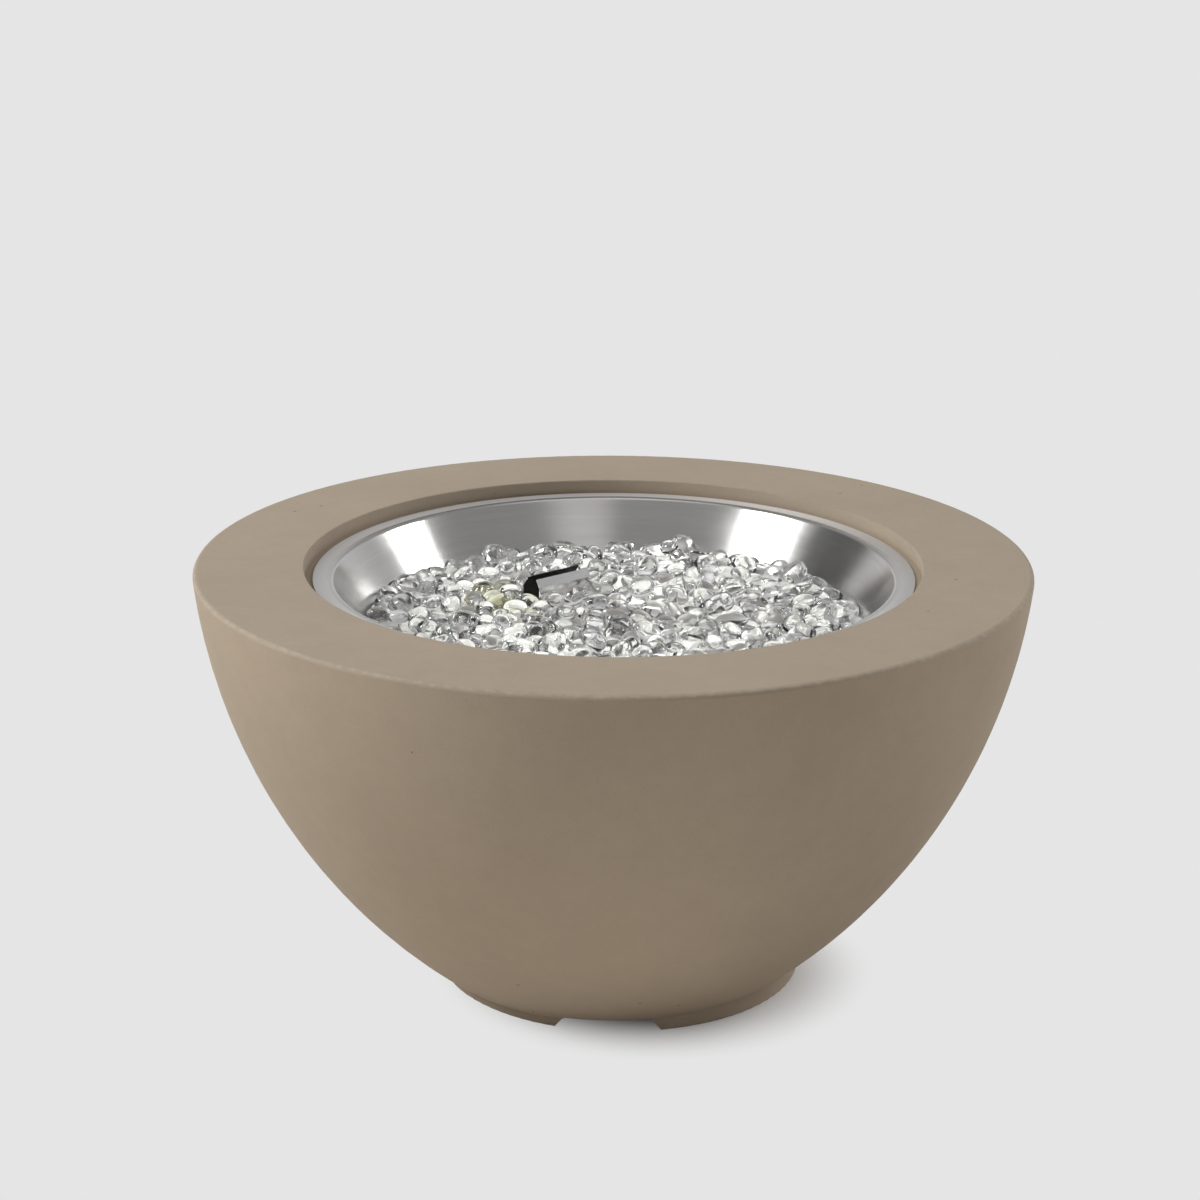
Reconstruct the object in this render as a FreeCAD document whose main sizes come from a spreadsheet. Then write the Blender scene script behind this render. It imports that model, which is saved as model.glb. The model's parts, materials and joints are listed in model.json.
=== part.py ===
"""A round cast-concrete gas fire bowl, 762 mm across and 393 mm high, in millimetres.

The origin is the centre of the base, on the surface that the foot ring stands on. +Z is up and -Y is
the front. A stainless burner pan drops into a rebate in the rim and carries the burner, the pilot and
the glass. The gas controls sit on a plate in a cast pocket at the back.
"""
import FreeCAD, Part
import math
import os
from types import SimpleNamespace

import Sketcher
from FreeCAD import Placement, Rotation, Vector

doc = FreeCAD.newDocument("gas_fire_bowl")

# Driving sizes, in millimetres and degrees. Each is one cell of the sheet.
SIZES = {
    # Bowl casting
    "rim_radius": 381.0,
    "bowl_height": 393.0,
    "body_arc_radius": 546.0,
    "body_low_radius": 158.5,
    "body_low_height": 4.8,
    "skirt_width": 12.5,
    "wall": 24.0,
    "opening_radius": 281.0,
    "rim_edge_round": 4.0,
    "opening_edge_round": 1.2,
    "recess_depth": 12.4,
    "ledge_width": 18.0,
    "lip_thickness": 22.0,
    "lip_slope": 30.0,
    "lip_edge_round": 3.0,
    "floor_thickness": 28.0,
    "floor_hole_radius": 40.0,
    # Foot ring
    "foot_radius": 168.0,
    "foot_width": 34.0,
    "foot_height": 13.0,
    "foot_root": 7.0,
    "foot_shift_right": 8.0,
    "foot_shift_back": 2.0,
    "foot_edge_round": 1.5,
    "notch_top_width": 76.0,
    "notch_slant": 10.5,
    "notch_turn": 1.2,
    # Burner pan
    "pan_gauge": 1.2,
    "flange_radius": 274.0,
    "bend_radius": 256.0,
    "pan_depth": 76.0,
    "cone_lean": 35.0,
    "pan_bend_round": 4.0,
    "pan_floor_round": 8.0,
    "pan_shift_right": 0.5,
    "pan_shift_back": 2.5,
    "weep_hole_radius": 4.0,
    "weep_circle_radius": 108.0,
    # Fire glass
    "glass_drop": 51.0,
    "fill_gap": 0.4,
    "fill_part_gap": 0.4,
    "slot_gap": 1.0,
    # Ring burner
    "tube_radius": 9.5,
    "tube_gauge": 1.2,
    "crossbar_radius": 8.0,
    "outer_ring_radius": 145.0,
    "inner_ring_radius": 66.0,
    "ring_height": 17.0,
    "crossbar_turn": 4.0,
    "hub_radius": 17.0,
    "port_radius": 0.9,
    # Burner inlet and air mixer
    "nipple_radius": 10.65,
    "nipple_bore_radius": 7.9,
    "nipple_above": 12.0,
    "nipple_below": 32.0,
    "locknut_flats": 34.0,
    "locknut_height": 8.0,
    "thread_gap": 0.05,
    "mixer_below": 14.0,
    "mixer_length": 66.0,
    "mixer_socket_radius": 15.5,
    "mixer_socket_depth": 20.0,
    "mixer_radius": 13.0,
    "mixer_bore_radius": 9.5,
    "mixer_floor": 10.0,
    "air_window_width": 14.0,
    "air_window_height": 16.0,
    "window_above_floor": 5.0,
    "shoulder_radius": 16.5,
    "shoulder_height": 2.5,
    # Air shutter
    "shutter_gap": 0.06,
    "shutter_wall": 1.8,
    "shutter_height": 26.0,
    "shutter_screw_radius": 1.5,
    "shutter_screw_length": 5.0,
    # Orifice, elbow and hose ends
    "orifice_flats": 16.0,
    "orifice_hex_height": 6.0,
    "orifice_nose_radius": 4.9,
    "orifice_nose_length": 14.0,
    "orifice_thread_radius": 6.0,
    "orifice_thread_length": 10.0,
    "orifice_bore_radius": 0.9,
    "elbow_radius": 9.0,
    "elbow_drop": 21.0,
    "elbow_reach": 30.0,
    "fitting_radius": 7.9,
    "fitting_bore_radius": 4.5,
    "hose_nut_flats": 22.0,
    "hose_nut_length": 14.0,
    "hose_nut_grip": 8.0,
    "hose_radius": 6.5,
    "line_gap": 0.3,
    # Pilot
    "pilot_left": 52.5,
    "pilot_back": 82.0,
    "pilot_turn": 40.0,
    "hood_length": 62.0,
    "hood_gauge": 1.0,
    "hood_front_half": 11.6,
    "hood_rear_half": 14.0,
    "hood_slot_half": 6.5,
    "hood_front_drop": 7.3,
    "hood_rear_drop": 9.4,
    "hood_rise": 13.4,
    "bracket_gauge": 1.2,
    "bracket_width": 14.0,
    "bracket_shelf_half": 19.0,
    "bracket_foot": 10.0,
    "bracket_height": 18.0,
    "pilot_burner_place": 1.0,
    "pilot_burner_radius": 5.0,
    "pilot_stem_radius": 3.0,
    "pilot_burner_top": 36.0,
    "pilot_collar": 6.0,
    "electrode_place": 11.0,
    "insulator_radius": 3.0,
    "insulator_top": 31.0,
    "electrode_radius": 1.0,
    "electrode_top": 41.0,
    "electrode_reach": 7.0,
    "thermocouple_place": 13.0,
    "thermocouple_radius": 2.4,
    "thermocouple_top": 38.0,
    "tails_below": 14.0,
    "tail_hole_gap": 0.6,
    "bracket_screw_place": 24.0,
    "small_screw_radius": 2.0,
    "small_head_radius": 3.6,
    "small_head_height": 2.2,
    "small_nut_flats": 7.0,
    "small_nut_height": 3.2,
    # Control plate in its pocket at the back
    "panel_height": 265.0,
    "panel_inset": 8.0,
    "plate_width": 150.0,
    "plate_height": 84.0,
    "plate_gauge": 2.0,
    "plate_corner": 8.0,
    "pocket_gap": 2.0,
    "aperture_width": 128.0,
    "aperture_height": 62.0,
    "plate_screw_across": 66.0,
    "plate_screw_up": 34.0,
    "plate_screw_radius": 2.0,
    "plate_head_radius": 4.0,
    "plate_head_height": 2.4,
    "plate_screw_length": 10.0,
    "insert_radius": 3.2,
    "insert_length": 12.0,
    # Gas valve and knob
    "valve_half": 17.0,
    "valve_near": 8.0,
    "valve_far": 54.0,
    "valve_shoulder_radius": 13.0,
    "neck_radius": 8.5,
    "neck_out": 6.0,
    "stem_radius": 4.0,
    "stem_gap": 0.06,
    "stem_in": 18.0,
    "knob_travel": 4.0,
    "valve_nut_flats": 24.0,
    "valve_nut_height": 4.0,
    "outlet_in": 40.0,
    "outlet_length": 12.0,
    "inlet_port_in": 38.0,
    "inlet_port_length": 10.0,
    "inlet_port_radius": 7.0,
    "small_port_place": 9.0,
    "small_port_radius": 4.0,
    "small_port_length": 6.0,
    "knob_radius": 21.0,
    "knob_skirt_height": 4.0,
    "knob_grip_radius": 16.5,
    "knob_height": 17.0,
    "knob_flute_radius": 3.0,
    "knob_bore_depth": 12.0,
    "washer_height": 1.0,
    "washer_radius": 9.0,
    "knob_clear": 0.5,
    "knob_screw_radius": 1.5,
    # Gas inlet
    "inlet_place": 48.0,
    "inlet_hex_flats": 22.0,
    "inlet_hex_height": 6.0,
    "inlet_nose_length": 12.0,
    "inlet_seat_length": 4.0,
    "inlet_tail": 18.0,
    "inlet_nut_height": 5.0,
    "supply_radius": 4.7,
    "supply_bend": 9.5,
    "supply_nut_grip": 6.0,
    "supply_nut_length": 13.0,
    "supply_nut_flats": 19.0,
    # Igniter
    "igniter_place": 48.0,
    "igniter_radius": 8.0,
    "igniter_length": 64.0,
    "igniter_flange_radius": 11.0,
    "igniter_flange_height": 3.0,
    "igniter_bore_radius": 5.7,
    "igniter_end": 3.0,
    "igniter_nut_flats": 22.0,
    "igniter_nut_height": 5.0,
    "terminal_radius": 2.5,
    "terminal_length": 6.0,
    "battery_radius": 5.25,
    "battery_length": 43.5,
    "battery_nub_radius": 1.9,
    "battery_nub_height": 1.0,
    "button_radius": 5.5,
    "button_proud": 5.0,
    "button_length": 16.5,
    "button_round": 1.0,
    # Lines between the controls and the pan, and the straight runs at their ends
    "hose_lead": 45.0,
    "tail_lead": 28.0,
    "pilot_tube_radius": 2.0,
    "thermocouple_lead_radius": 1.3,
    "igniter_lead_radius": 1.6,
}

# Counts of what repeats round a circle
NOTCHES = 3
WEEP_HOLES = 8
OUTER_PORTS = 36
INNER_PORTS = 18
KNOB_FLUTES = 12

UPRIGHT = Rotation()
ALONG_X = Rotation(Vector(0, 1, 0), 90)
ALONG_Y = Rotation(Vector(1, 0, 0), -90)


class Size:
    """A number, with the sheet expression that gives the same number."""

    def __init__(self, value, text):
        self.value = value
        self.text = text

    def __add__(self, other):
        other = as_size(other)
        return Size(self.value + other.value, f"({self.text} + {other.text})")

    def __sub__(self, other):
        other = as_size(other)
        return Size(self.value - other.value, f"({self.text} - {other.text})")

    def __mul__(self, other):
        other = as_size(other)
        return Size(self.value * other.value, f"({self.text} * {other.text})")

    def __truediv__(self, other):
        other = as_size(other)
        return Size(self.value / other.value, f"({self.text} / {other.text})")

    def __radd__(self, other):
        return as_size(other) + self

    def __rsub__(self, other):
        return as_size(other) - self

    def __rmul__(self, other):
        return as_size(other) * self

    def __neg__(self):
        return as_size(0) - self


def as_size(thing):
    """The thing itself if it is a Size, or a plain number as one."""
    if isinstance(thing, Size):
        return thing
    return Size(float(thing), f"({float(thing)})")


def root(x):
    return Size(math.sqrt(x.value), f"sqrt({x.text})")


def sine(x):
    return Size(math.sin(math.radians(x.value)), f"sin({x.text})")


def cosine(x):
    return Size(math.cos(math.radians(x.value)), f"cos({x.text})")


def tangent(x):
    return Size(math.tan(math.radians(x.value)), f"tan({x.text})")


def arcsine(x):
    return Size(math.degrees(math.asin(x.value)), f"(asin({x.text}) / (1 deg))")


def make_sheet():
    """The sheet of driving sizes, and one Size for each of its cells."""
    sheet = doc.addObject("Spreadsheet::Sheet", "Sizes")
    for row, (name, value) in enumerate(SIZES.items(), start=1):
        sheet.set(f"A{row}", name)
        sheet.set(f"B{row}", str(value))
        sheet.setAlias(f"B{row}", name)
    doc.recompute()
    return SimpleNamespace(**{name: Size(value, f"Sizes.{name}") for name, value in SIZES.items()})


size = make_sheet()


# Heights and radii that several pieces share
RIM_TOP = size.bowl_height
FLANGE_TOP = RIM_TOP - size.recess_depth
LEDGE = FLANGE_TOP - size.pan_gauge
LEDGE_RADIUS = size.opening_radius - size.ledge_width
PAN_FLOOR = FLANGE_TOP - size.pan_depth
PAN_UNDERSIDE = PAN_FLOOR - size.pan_gauge
GLASS_TOP = RIM_TOP - size.glass_drop
BOWL_FLOOR = size.foot_height + size.floor_thickness


def body_arc_centre():
    """Radius and height of the centre of the outside arc, which runs from the skirt to the rim."""
    across = size.rim_radius - size.body_low_radius
    up = size.bowl_height - size.body_low_height
    chord = root(across * across + up * up)
    away = root(size.body_arc_radius * size.body_arc_radius - chord * chord / 4)
    centre_radius = (size.rim_radius + size.body_low_radius) / 2 - away * up / chord
    centre_height = (size.bowl_height + size.body_low_height) / 2 + away * across / chord
    return centre_radius, centre_height


ARC_CENTRE_RADIUS, ARC_CENTRE_HEIGHT = body_arc_centre()


def bowl_radius(height, depth=0):
    """Radius of the bowl's outside, or of the surface at a depth within it, at a height."""
    arc = size.body_arc_radius - depth
    fall = ARC_CENTRE_HEIGHT - height
    return ARC_CENTRE_RADIUS + root(arc * arc - fall * fall)


def pan_radius(height):
    """Inside radius of the pan's cone at a height."""
    return size.bend_radius - (FLANGE_TOP - height) * tangent(size.cone_lean)


class Frame:
    """Where a group of pieces is modelled: a base point and one turn about X or Z."""

    def __init__(self, x, y, z, axis, turn):
        self.base = [as_size(x), as_size(y), as_size(z)]
        self.axis = axis
        self.turn = as_size(turn)

    def placement(self):
        place = Vector(*[part.value for part in self.base])
        return Placement(place, Rotation(self.axis, self.turn.value))

    def point(self, x, y, z):
        """A point given in this frame, as a point of the whole object."""
        return self.placement().multVec(Vector(*[as_size(part).value for part in (x, y, z)]))


UP = Vector(0, 0, 1)
PANEL_LEAN = arcsine((ARC_CENTRE_HEIGHT - size.panel_height) / size.body_arc_radius)
WORLD = Frame(0, 0, 0, UP, 0)
PAN = Frame(size.pan_shift_right, size.pan_shift_back, 0, UP, 0)
PILOT = Frame(size.pan_shift_right - size.pilot_left, size.pan_shift_back + size.pilot_back, 0, UP,
              size.pilot_turn)
# The panel's own X is +X, its Y runs down the plate and its Z points out of the bowl.
PANEL = Frame(0, bowl_radius(size.panel_height) - size.panel_inset * cosine(PANEL_LEAN),
              size.panel_height + size.panel_inset * sine(PANEL_LEAN), Vector(1, 0, 0),
              -(PANEL_LEAN + 90))

nodes = []


def bind(item, path, amount):
    """Ties a property to the sheet, or sets it to a plain number."""
    if isinstance(amount, Size):
        item.setExpression(path, amount.text)
    else:
        setattr(item, path, amount)


def place(item, at, turn=UPRIGHT):
    """Puts an item at a point given in sizes, turned by a fixed rotation."""
    at = [as_size(part) for part in at]
    item.Placement = Placement(Vector(*[part.value for part in at]), turn)
    for axis, part in zip("xyz", at):
        item.setExpression(f"Placement.Base.{axis}", part.text)


def node(item, label, frame=WORLD):
    """Names a finished piece and puts it in its frame."""
    if item.isDerivedFrom("Part::Primitive"):
        item = group(item)
    item.Label = label
    item.Placement = frame.placement()
    for axis, part in zip("xyz", frame.base):
        item.setExpression(f"Placement.Base.{axis}", part.text)
    item.setExpression("Placement.Rotation.Angle", frame.turn.text)
    nodes.append(item)
    return item


# Primitives and booleans

def primitive(kind, sizes, at, turn):
    item = doc.addObject(f"Part::{kind}", kind)
    for name, amount in sizes.items():
        bind(item, name, amount)
    place(item, at, turn)
    return item


def cylinder(radius, length, at=(0, 0, 0), turn=UPRIGHT):
    return primitive("Cylinder", {"Radius": radius, "Height": length}, at, turn)


def cone(radius, top_radius, length, at=(0, 0, 0), turn=UPRIGHT):
    return primitive("Cone", {"Radius1": radius, "Radius2": top_radius, "Height": length}, at, turn)


def box(x, y, z, at, turn=UPRIGHT):
    return primitive("Box", {"Length": x, "Width": y, "Height": z}, at, turn)


def hexagon(flats, length, at=(0, 0, 0), turn=UPRIGHT):
    item = primitive("Prism", {"Circumradius": flats / math.sqrt(3), "Height": length}, at, turn)
    item.Polygon = 6
    return item


def torus(radius, tube_radius, at):
    return primitive("Torus", {"Radius1": radius, "Radius2": tube_radius}, at, UPRIGHT)


def fuse(*items):
    if len(items) == 1:
        return items[0]
    item = doc.addObject("Part::MultiFuse", "Fusion")
    item.Shapes = list(items)
    return item


def cut(base, *tools):
    item = doc.addObject("Part::Cut", "Cut")
    item.Base = base
    item.Tool = fuse(*tools)
    return item


def group(*items):
    """Separate solids that share one node."""
    item = doc.addObject("Part::Compound", "Group")
    item.Links = list(items)
    return item


# Bodies with sketches

def new_body(name):
    return doc.addObject("PartDesign::Body", name)


def pin(sketch, edge, end, point):
    """Ties one point of a sketch to its sizes, measured from the sketch's origin."""
    for amount, kind, axis in zip(point, ("DistanceX", "DistanceY"), (-2, -1)):
        if not isinstance(amount, Size) and amount == 0:
            sketch.addConstraint(Sketcher.Constraint("PointOnObject", edge, end, axis))
            continue
        amount = as_size(amount)
        number = sketch.addConstraint(Sketcher.Constraint(kind, -1, 1, edge, end, amount.value))
        sketch.setExpression(f"Constraints[{number}]", amount.text)


def new_sketch(body, plane, at=(0, 0, 0), axis=UP, turn=0):
    """A sketch on one of the body's own origin planes, moved by sizes and turned about one axis."""
    sketch = body.newObject("Sketcher::SketchObject", "Outline")
    base = [item for item in body.Origin.OriginFeatures if item.Role == plane][0]
    sketch.AttachmentSupport = [(base, "")]
    sketch.MapMode = "FlatFace"
    at = [as_size(part) for part in at]
    turn = as_size(turn)
    sketch.AttachmentOffset = Placement(Vector(*[part.value for part in at]), Rotation(axis, turn.value))
    for name, part in zip("xyz", at):
        sketch.setExpression(f"AttachmentOffset.Base.{name}", part.text)
    if turn.value:
        sketch.setExpression("AttachmentOffset.Rotation.Angle", turn.text)
    return sketch


def arc_between(start, end, radius, way):
    """The short arc from start to end. way is 1 for anticlockwise and -1 for clockwise."""
    chord = end - start
    away = math.sqrt(radius ** 2 - chord.Length ** 2 / 4)
    side = Vector(-chord.y, chord.x, 0).normalize() * away * way
    centre = (start + end) / 2 + side
    angles = [math.atan2(point.y - centre.y, point.x - centre.x) for point in (start, end)]
    if way < 0:
        angles.reverse()
    return Part.ArcOfCircle(Part.Circle(centre, UP, radius), *angles)


def draw_outline(sketch, points, arcs=None):
    """A closed outline through points. arcs gives, for the edge after a point, (radius, way)."""
    arcs = arcs or {}
    places = [Vector(*[as_size(part).value for part in point], 0) for point in points]
    count = len(points)
    first_edge = sketch.GeometryCount
    ends = []
    for index in range(count):
        start = places[index]
        end = places[(index + 1) % count]
        if index in arcs:
            radius, way = arcs[index]
            edge = sketch.addGeometry(arc_between(start, end, as_size(radius).value, way), False)
            ends.append((1, 2) if way > 0 else (2, 1))
        else:
            edge = sketch.addGeometry(Part.LineSegment(start, end), False)
            ends.append((1, 2))
    for index in range(count):
        after = (index + 1) % count
        sketch.addConstraint(Sketcher.Constraint("Coincident", first_edge + index, ends[index][1],
                                                 first_edge + after, ends[after][0]))
    for index in range(count):
        pin(sketch, first_edge + index, ends[index][0], points[index])
    for index, (radius, way) in arcs.items():
        edge = first_edge + index
        number = sketch.addConstraint(Sketcher.Constraint("Radius", edge, as_size(radius).value))
        sketch.setExpression(f"Constraints[{number}]", as_size(radius).text)


def draw_circle(sketch, radius, x=0, y=0):
    centre = Vector(as_size(x).value, as_size(y).value, 0)
    edge = sketch.addGeometry(Part.Circle(centre, UP, radius.value), False)
    pin(sketch, edge, 3, (x, y))
    number = sketch.addConstraint(Sketcher.Constraint("Radius", edge, radius.value))
    sketch.setExpression(f"Constraints[{number}]", radius.text)


def draw_rectangle(sketch, left, low, right, high):
    draw_outline(sketch, [(left, low), (right, low), (right, high), (left, high)])


def draw_rounded(sketch, half_x, half_y, corner):
    """A rectangle about the sketch's origin with round corners."""
    x = half_x - corner
    y = half_y - corner
    points = [(-x, -half_y), (x, -half_y), (half_x, -y), (half_x, y),
              (x, half_y), (-x, half_y), (-half_x, y), (-half_x, -y)]
    draw_outline(sketch, points, {index: (corner, 1) for index in (1, 3, 5, 7)})


def revolve(body, sketch):
    feature = body.newObject("PartDesign::Revolution", "Revolution")
    feature.Profile = sketch
    feature.ReferenceAxis = (sketch, ["V_Axis"])
    feature.Angle = 360
    doc.recompute()
    return feature


def pad(body, sketch, length):
    feature = body.newObject("PartDesign::Pad", "Pad")
    feature.Profile = sketch
    bind(feature, "Length", length)
    doc.recompute()
    return feature


def pocket(body, sketch, length, along_normal=False):
    """Cuts a sketch into the body, against the sketch's normal unless told otherwise."""
    before = body.Shape.Volume
    feature = body.newObject("PartDesign::Pocket", "Pocket")
    feature.Profile = sketch
    feature.Reversed = along_normal
    bind(feature, "Length", length)
    doc.recompute()
    if body.Shape.Volume > before - 0.1:
        raise RuntimeError(f"{body.Name}: a pocket cut nothing")
    return feature


def groove(body, sketch):
    before = body.Shape.Volume
    feature = body.newObject("PartDesign::Groove", "Groove")
    feature.Profile = sketch
    feature.ReferenceAxis = (sketch, ["V_Axis"])
    feature.Angle = 360
    doc.recompute()
    if body.Shape.Volume > before - 0.1:
        raise RuntimeError(f"{body.Name}: a groove cut nothing")
    return feature


def pattern(body, feature, count):
    """Repeats a feature evenly round the body's Z axis."""
    repeat = body.newObject("PartDesign::PolarPattern", "Pattern")
    repeat.Originals = [feature]
    axis = [item for item in body.Origin.OriginFeatures if item.Role == "Z_Axis"][0]
    repeat.Axis = (axis, [""])
    repeat.Angle = 360
    repeat.Occurrences = count
    body.Tip = repeat
    doc.recompute()
    return repeat


def round_circles(body, feature, circles, radius):
    """Rounds the edges that are circles about Z with the given radii and heights."""
    wanted = [(as_size(across).value, as_size(height).value) for across, height in circles]
    names = []
    for number, edge in enumerate(feature.Shape.Edges, start=1):
        if not isinstance(edge.Curve, Part.Circle):
            continue
        centre = edge.Curve.Center
        for across, height in wanted:
            if abs(edge.Curve.Radius - across) < 0.01 and abs(centre.z - height) < 0.01:
                names.append(f"Edge{number}")
    if len(names) < len(wanted):
        raise RuntimeError(f"{body.Name}: an edge to round is missing")
    rounding = body.newObject("PartDesign::Fillet", "Rounding")
    rounding.Base = (feature, names)
    bind(rounding, "Radius", radius)
    doc.recompute()
    return rounding


# Bowl

def make_bowl():
    """The casting: a shell of even wall, a rebated rim, a flat floor and a notched foot ring.

    The wall runs on below the floor as a skirt. The foot ring stands a little off the bowl's axis, so it
    is flush with the skirt at the left and stands out from it at the right.
    """
    body = new_body("Bowl")
    skirt_inside = size.body_low_radius - size.skirt_width
    foot_inside = size.foot_radius - size.foot_width
    under_lip = LEDGE - size.lip_thickness
    wall_top = under_lip - size.lip_slope
    outline = new_sketch(body, "XZ_Plane")
    draw_outline(outline, [
        (0, size.foot_height),
        (skirt_inside, size.foot_height),
        (skirt_inside, size.body_low_height),
        (size.body_low_radius, size.body_low_height),
        (size.rim_radius, RIM_TOP),
        (size.opening_radius, RIM_TOP),
        (size.opening_radius, LEDGE),
        (LEDGE_RADIUS, LEDGE),
        (LEDGE_RADIUS, under_lip),
        (bowl_radius(wall_top, size.wall), wall_top),
        (bowl_radius(BOWL_FLOOR, size.wall), BOWL_FLOOR),
        (0, BOWL_FLOOR),
    ], {3: (size.body_arc_radius, 1), 9: (size.body_arc_radius - size.wall, -1)})
    shell = revolve(body, outline)
    edges = round_circles(body, shell, [(size.rim_radius, RIM_TOP)], size.rim_edge_round)
    edges = round_circles(body, edges, [(size.opening_radius, RIM_TOP)], size.opening_edge_round)
    round_circles(body, edges, [(LEDGE_RADIUS, under_lip)], size.lip_edge_round)

    ring = new_sketch(body, "XY_Plane", at=(size.foot_shift_right, size.foot_shift_back, 0))
    draw_circle(ring, size.foot_radius)
    draw_circle(ring, foot_inside)
    foot = pad(body, ring, size.foot_height + size.foot_root)
    round_circles(body, foot, [(size.foot_radius, 0), (foot_inside, 0)], size.foot_edge_round)

    notch = new_sketch(body, "XZ_Plane", axis=Vector(0, 1, 0), turn=-size.notch_turn)
    top_half = size.notch_top_width / 2
    beyond_foot = size.foot_radius + size.foot_shift_right + size.foot_shift_back
    low_half = top_half + size.notch_slant
    draw_outline(notch, [(-low_half, 0), (low_half, 0), (top_half, size.foot_height),
                         (-top_half, size.foot_height)])
    pattern(body, pocket(body, notch, beyond_foot, along_normal=True), NOTCHES)

    hole = new_sketch(body, "XY_Plane", at=(0, 0, BOWL_FLOOR))
    draw_circle(hole, size.floor_hole_radius)
    pocket(body, hole, size.floor_thickness)

    def panel_sketch():
        back = PANEL.base[1] - size.plate_gauge * cosine(PANEL_LEAN)
        up = PANEL.base[2] + size.plate_gauge * sine(PANEL_LEAN)
        return new_sketch(body, "XY_Plane", at=(0, back, up), axis=PANEL.axis, turn=PANEL.turn)

    recess = panel_sketch()
    draw_rounded(recess, size.plate_width / 2 + size.pocket_gap, size.plate_height / 2 + size.pocket_gap,
                 size.plate_corner + size.pocket_gap)
    pocket(body, recess, size.panel_inset * 4, along_normal=True)

    aperture = panel_sketch()
    draw_rounded(aperture, size.aperture_width / 2, size.aperture_height / 2, size.plate_corner)
    pocket(body, aperture, size.wall * 2)

    sockets = panel_sketch()
    for x, y in plate_screw_places():
        draw_circle(sockets, size.insert_radius, x, y)
    pocket(body, sockets, size.insert_length)
    node(body, "bowl")


def plate_screw_places():
    across = size.plate_screw_across
    up = size.plate_screw_up
    return [(across, up), (-across, up), (-across, -up), (across, -up)]


# Burner pan and its fill

def make_burner_pan():
    """The drop-in pan of spun sheet: flat flange, leaning cone and flat floor with its holes."""
    body = new_body("BurnerPan")
    gauge = size.pan_gauge
    shift = gauge * (1 - sine(size.cone_lean)) / cosine(size.cone_lean)
    floor_radius = pan_radius(PAN_FLOOR)
    outline = new_sketch(body, "XZ_Plane")
    draw_outline(outline, [
        (0, PAN_UNDERSIDE),
        (floor_radius + shift, PAN_UNDERSIDE),
        (size.bend_radius + shift, LEDGE),
        (size.flange_radius, LEDGE),
        (size.flange_radius, FLANGE_TOP),
        (size.bend_radius, FLANGE_TOP),
        (floor_radius, PAN_FLOOR),
        (0, PAN_FLOOR),
    ])
    sheet = revolve(body, outline)
    bend = round_circles(body, sheet, [(size.bend_radius, FLANGE_TOP)], size.pan_bend_round)
    bend = round_circles(body, bend, [(size.bend_radius + shift, LEDGE)], size.pan_bend_round - gauge)
    bend = round_circles(body, bend, [(floor_radius, PAN_FLOOR)], size.pan_floor_round)
    round_circles(body, bend, [(floor_radius + shift, PAN_UNDERSIDE)], size.pan_floor_round + gauge)

    holes = new_sketch(body, "XY_Plane", at=(0, 0, PAN_FLOOR))
    draw_circle(holes, size.nipple_radius + size.tail_hole_gap)
    pocket(body, holes, gauge)

    weep = new_sketch(body, "XY_Plane", at=(0, 0, PAN_FLOOR))
    draw_circle(weep, size.weep_hole_radius, 0, -size.weep_circle_radius)
    pattern(body, pocket(body, weep, gauge), WEEP_HOLES)

    tails = new_sketch(body, "XY_Plane", at=(-size.pilot_left, size.pilot_back, PAN_FLOOR),
                       turn=size.pilot_turn)
    for radius, x in pilot_holes():
        draw_circle(tails, radius, x)
    pocket(body, tails, gauge)
    node(body, "burner_pan", PAN)


def pilot_holes():
    """Radius and place along the pilot of each hole that its pieces pass through."""
    gap = size.tail_hole_gap
    return [
        (size.pilot_stem_radius + gap, size.pilot_burner_place),
        (size.insulator_radius + gap, -size.electrode_place),
        (size.thermocouple_radius + gap, size.thermocouple_place),
        (size.small_screw_radius + size.thread_gap, size.bracket_screw_place),
        (size.small_screw_radius + size.thread_gap, -size.bracket_screw_place),
    ]


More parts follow.
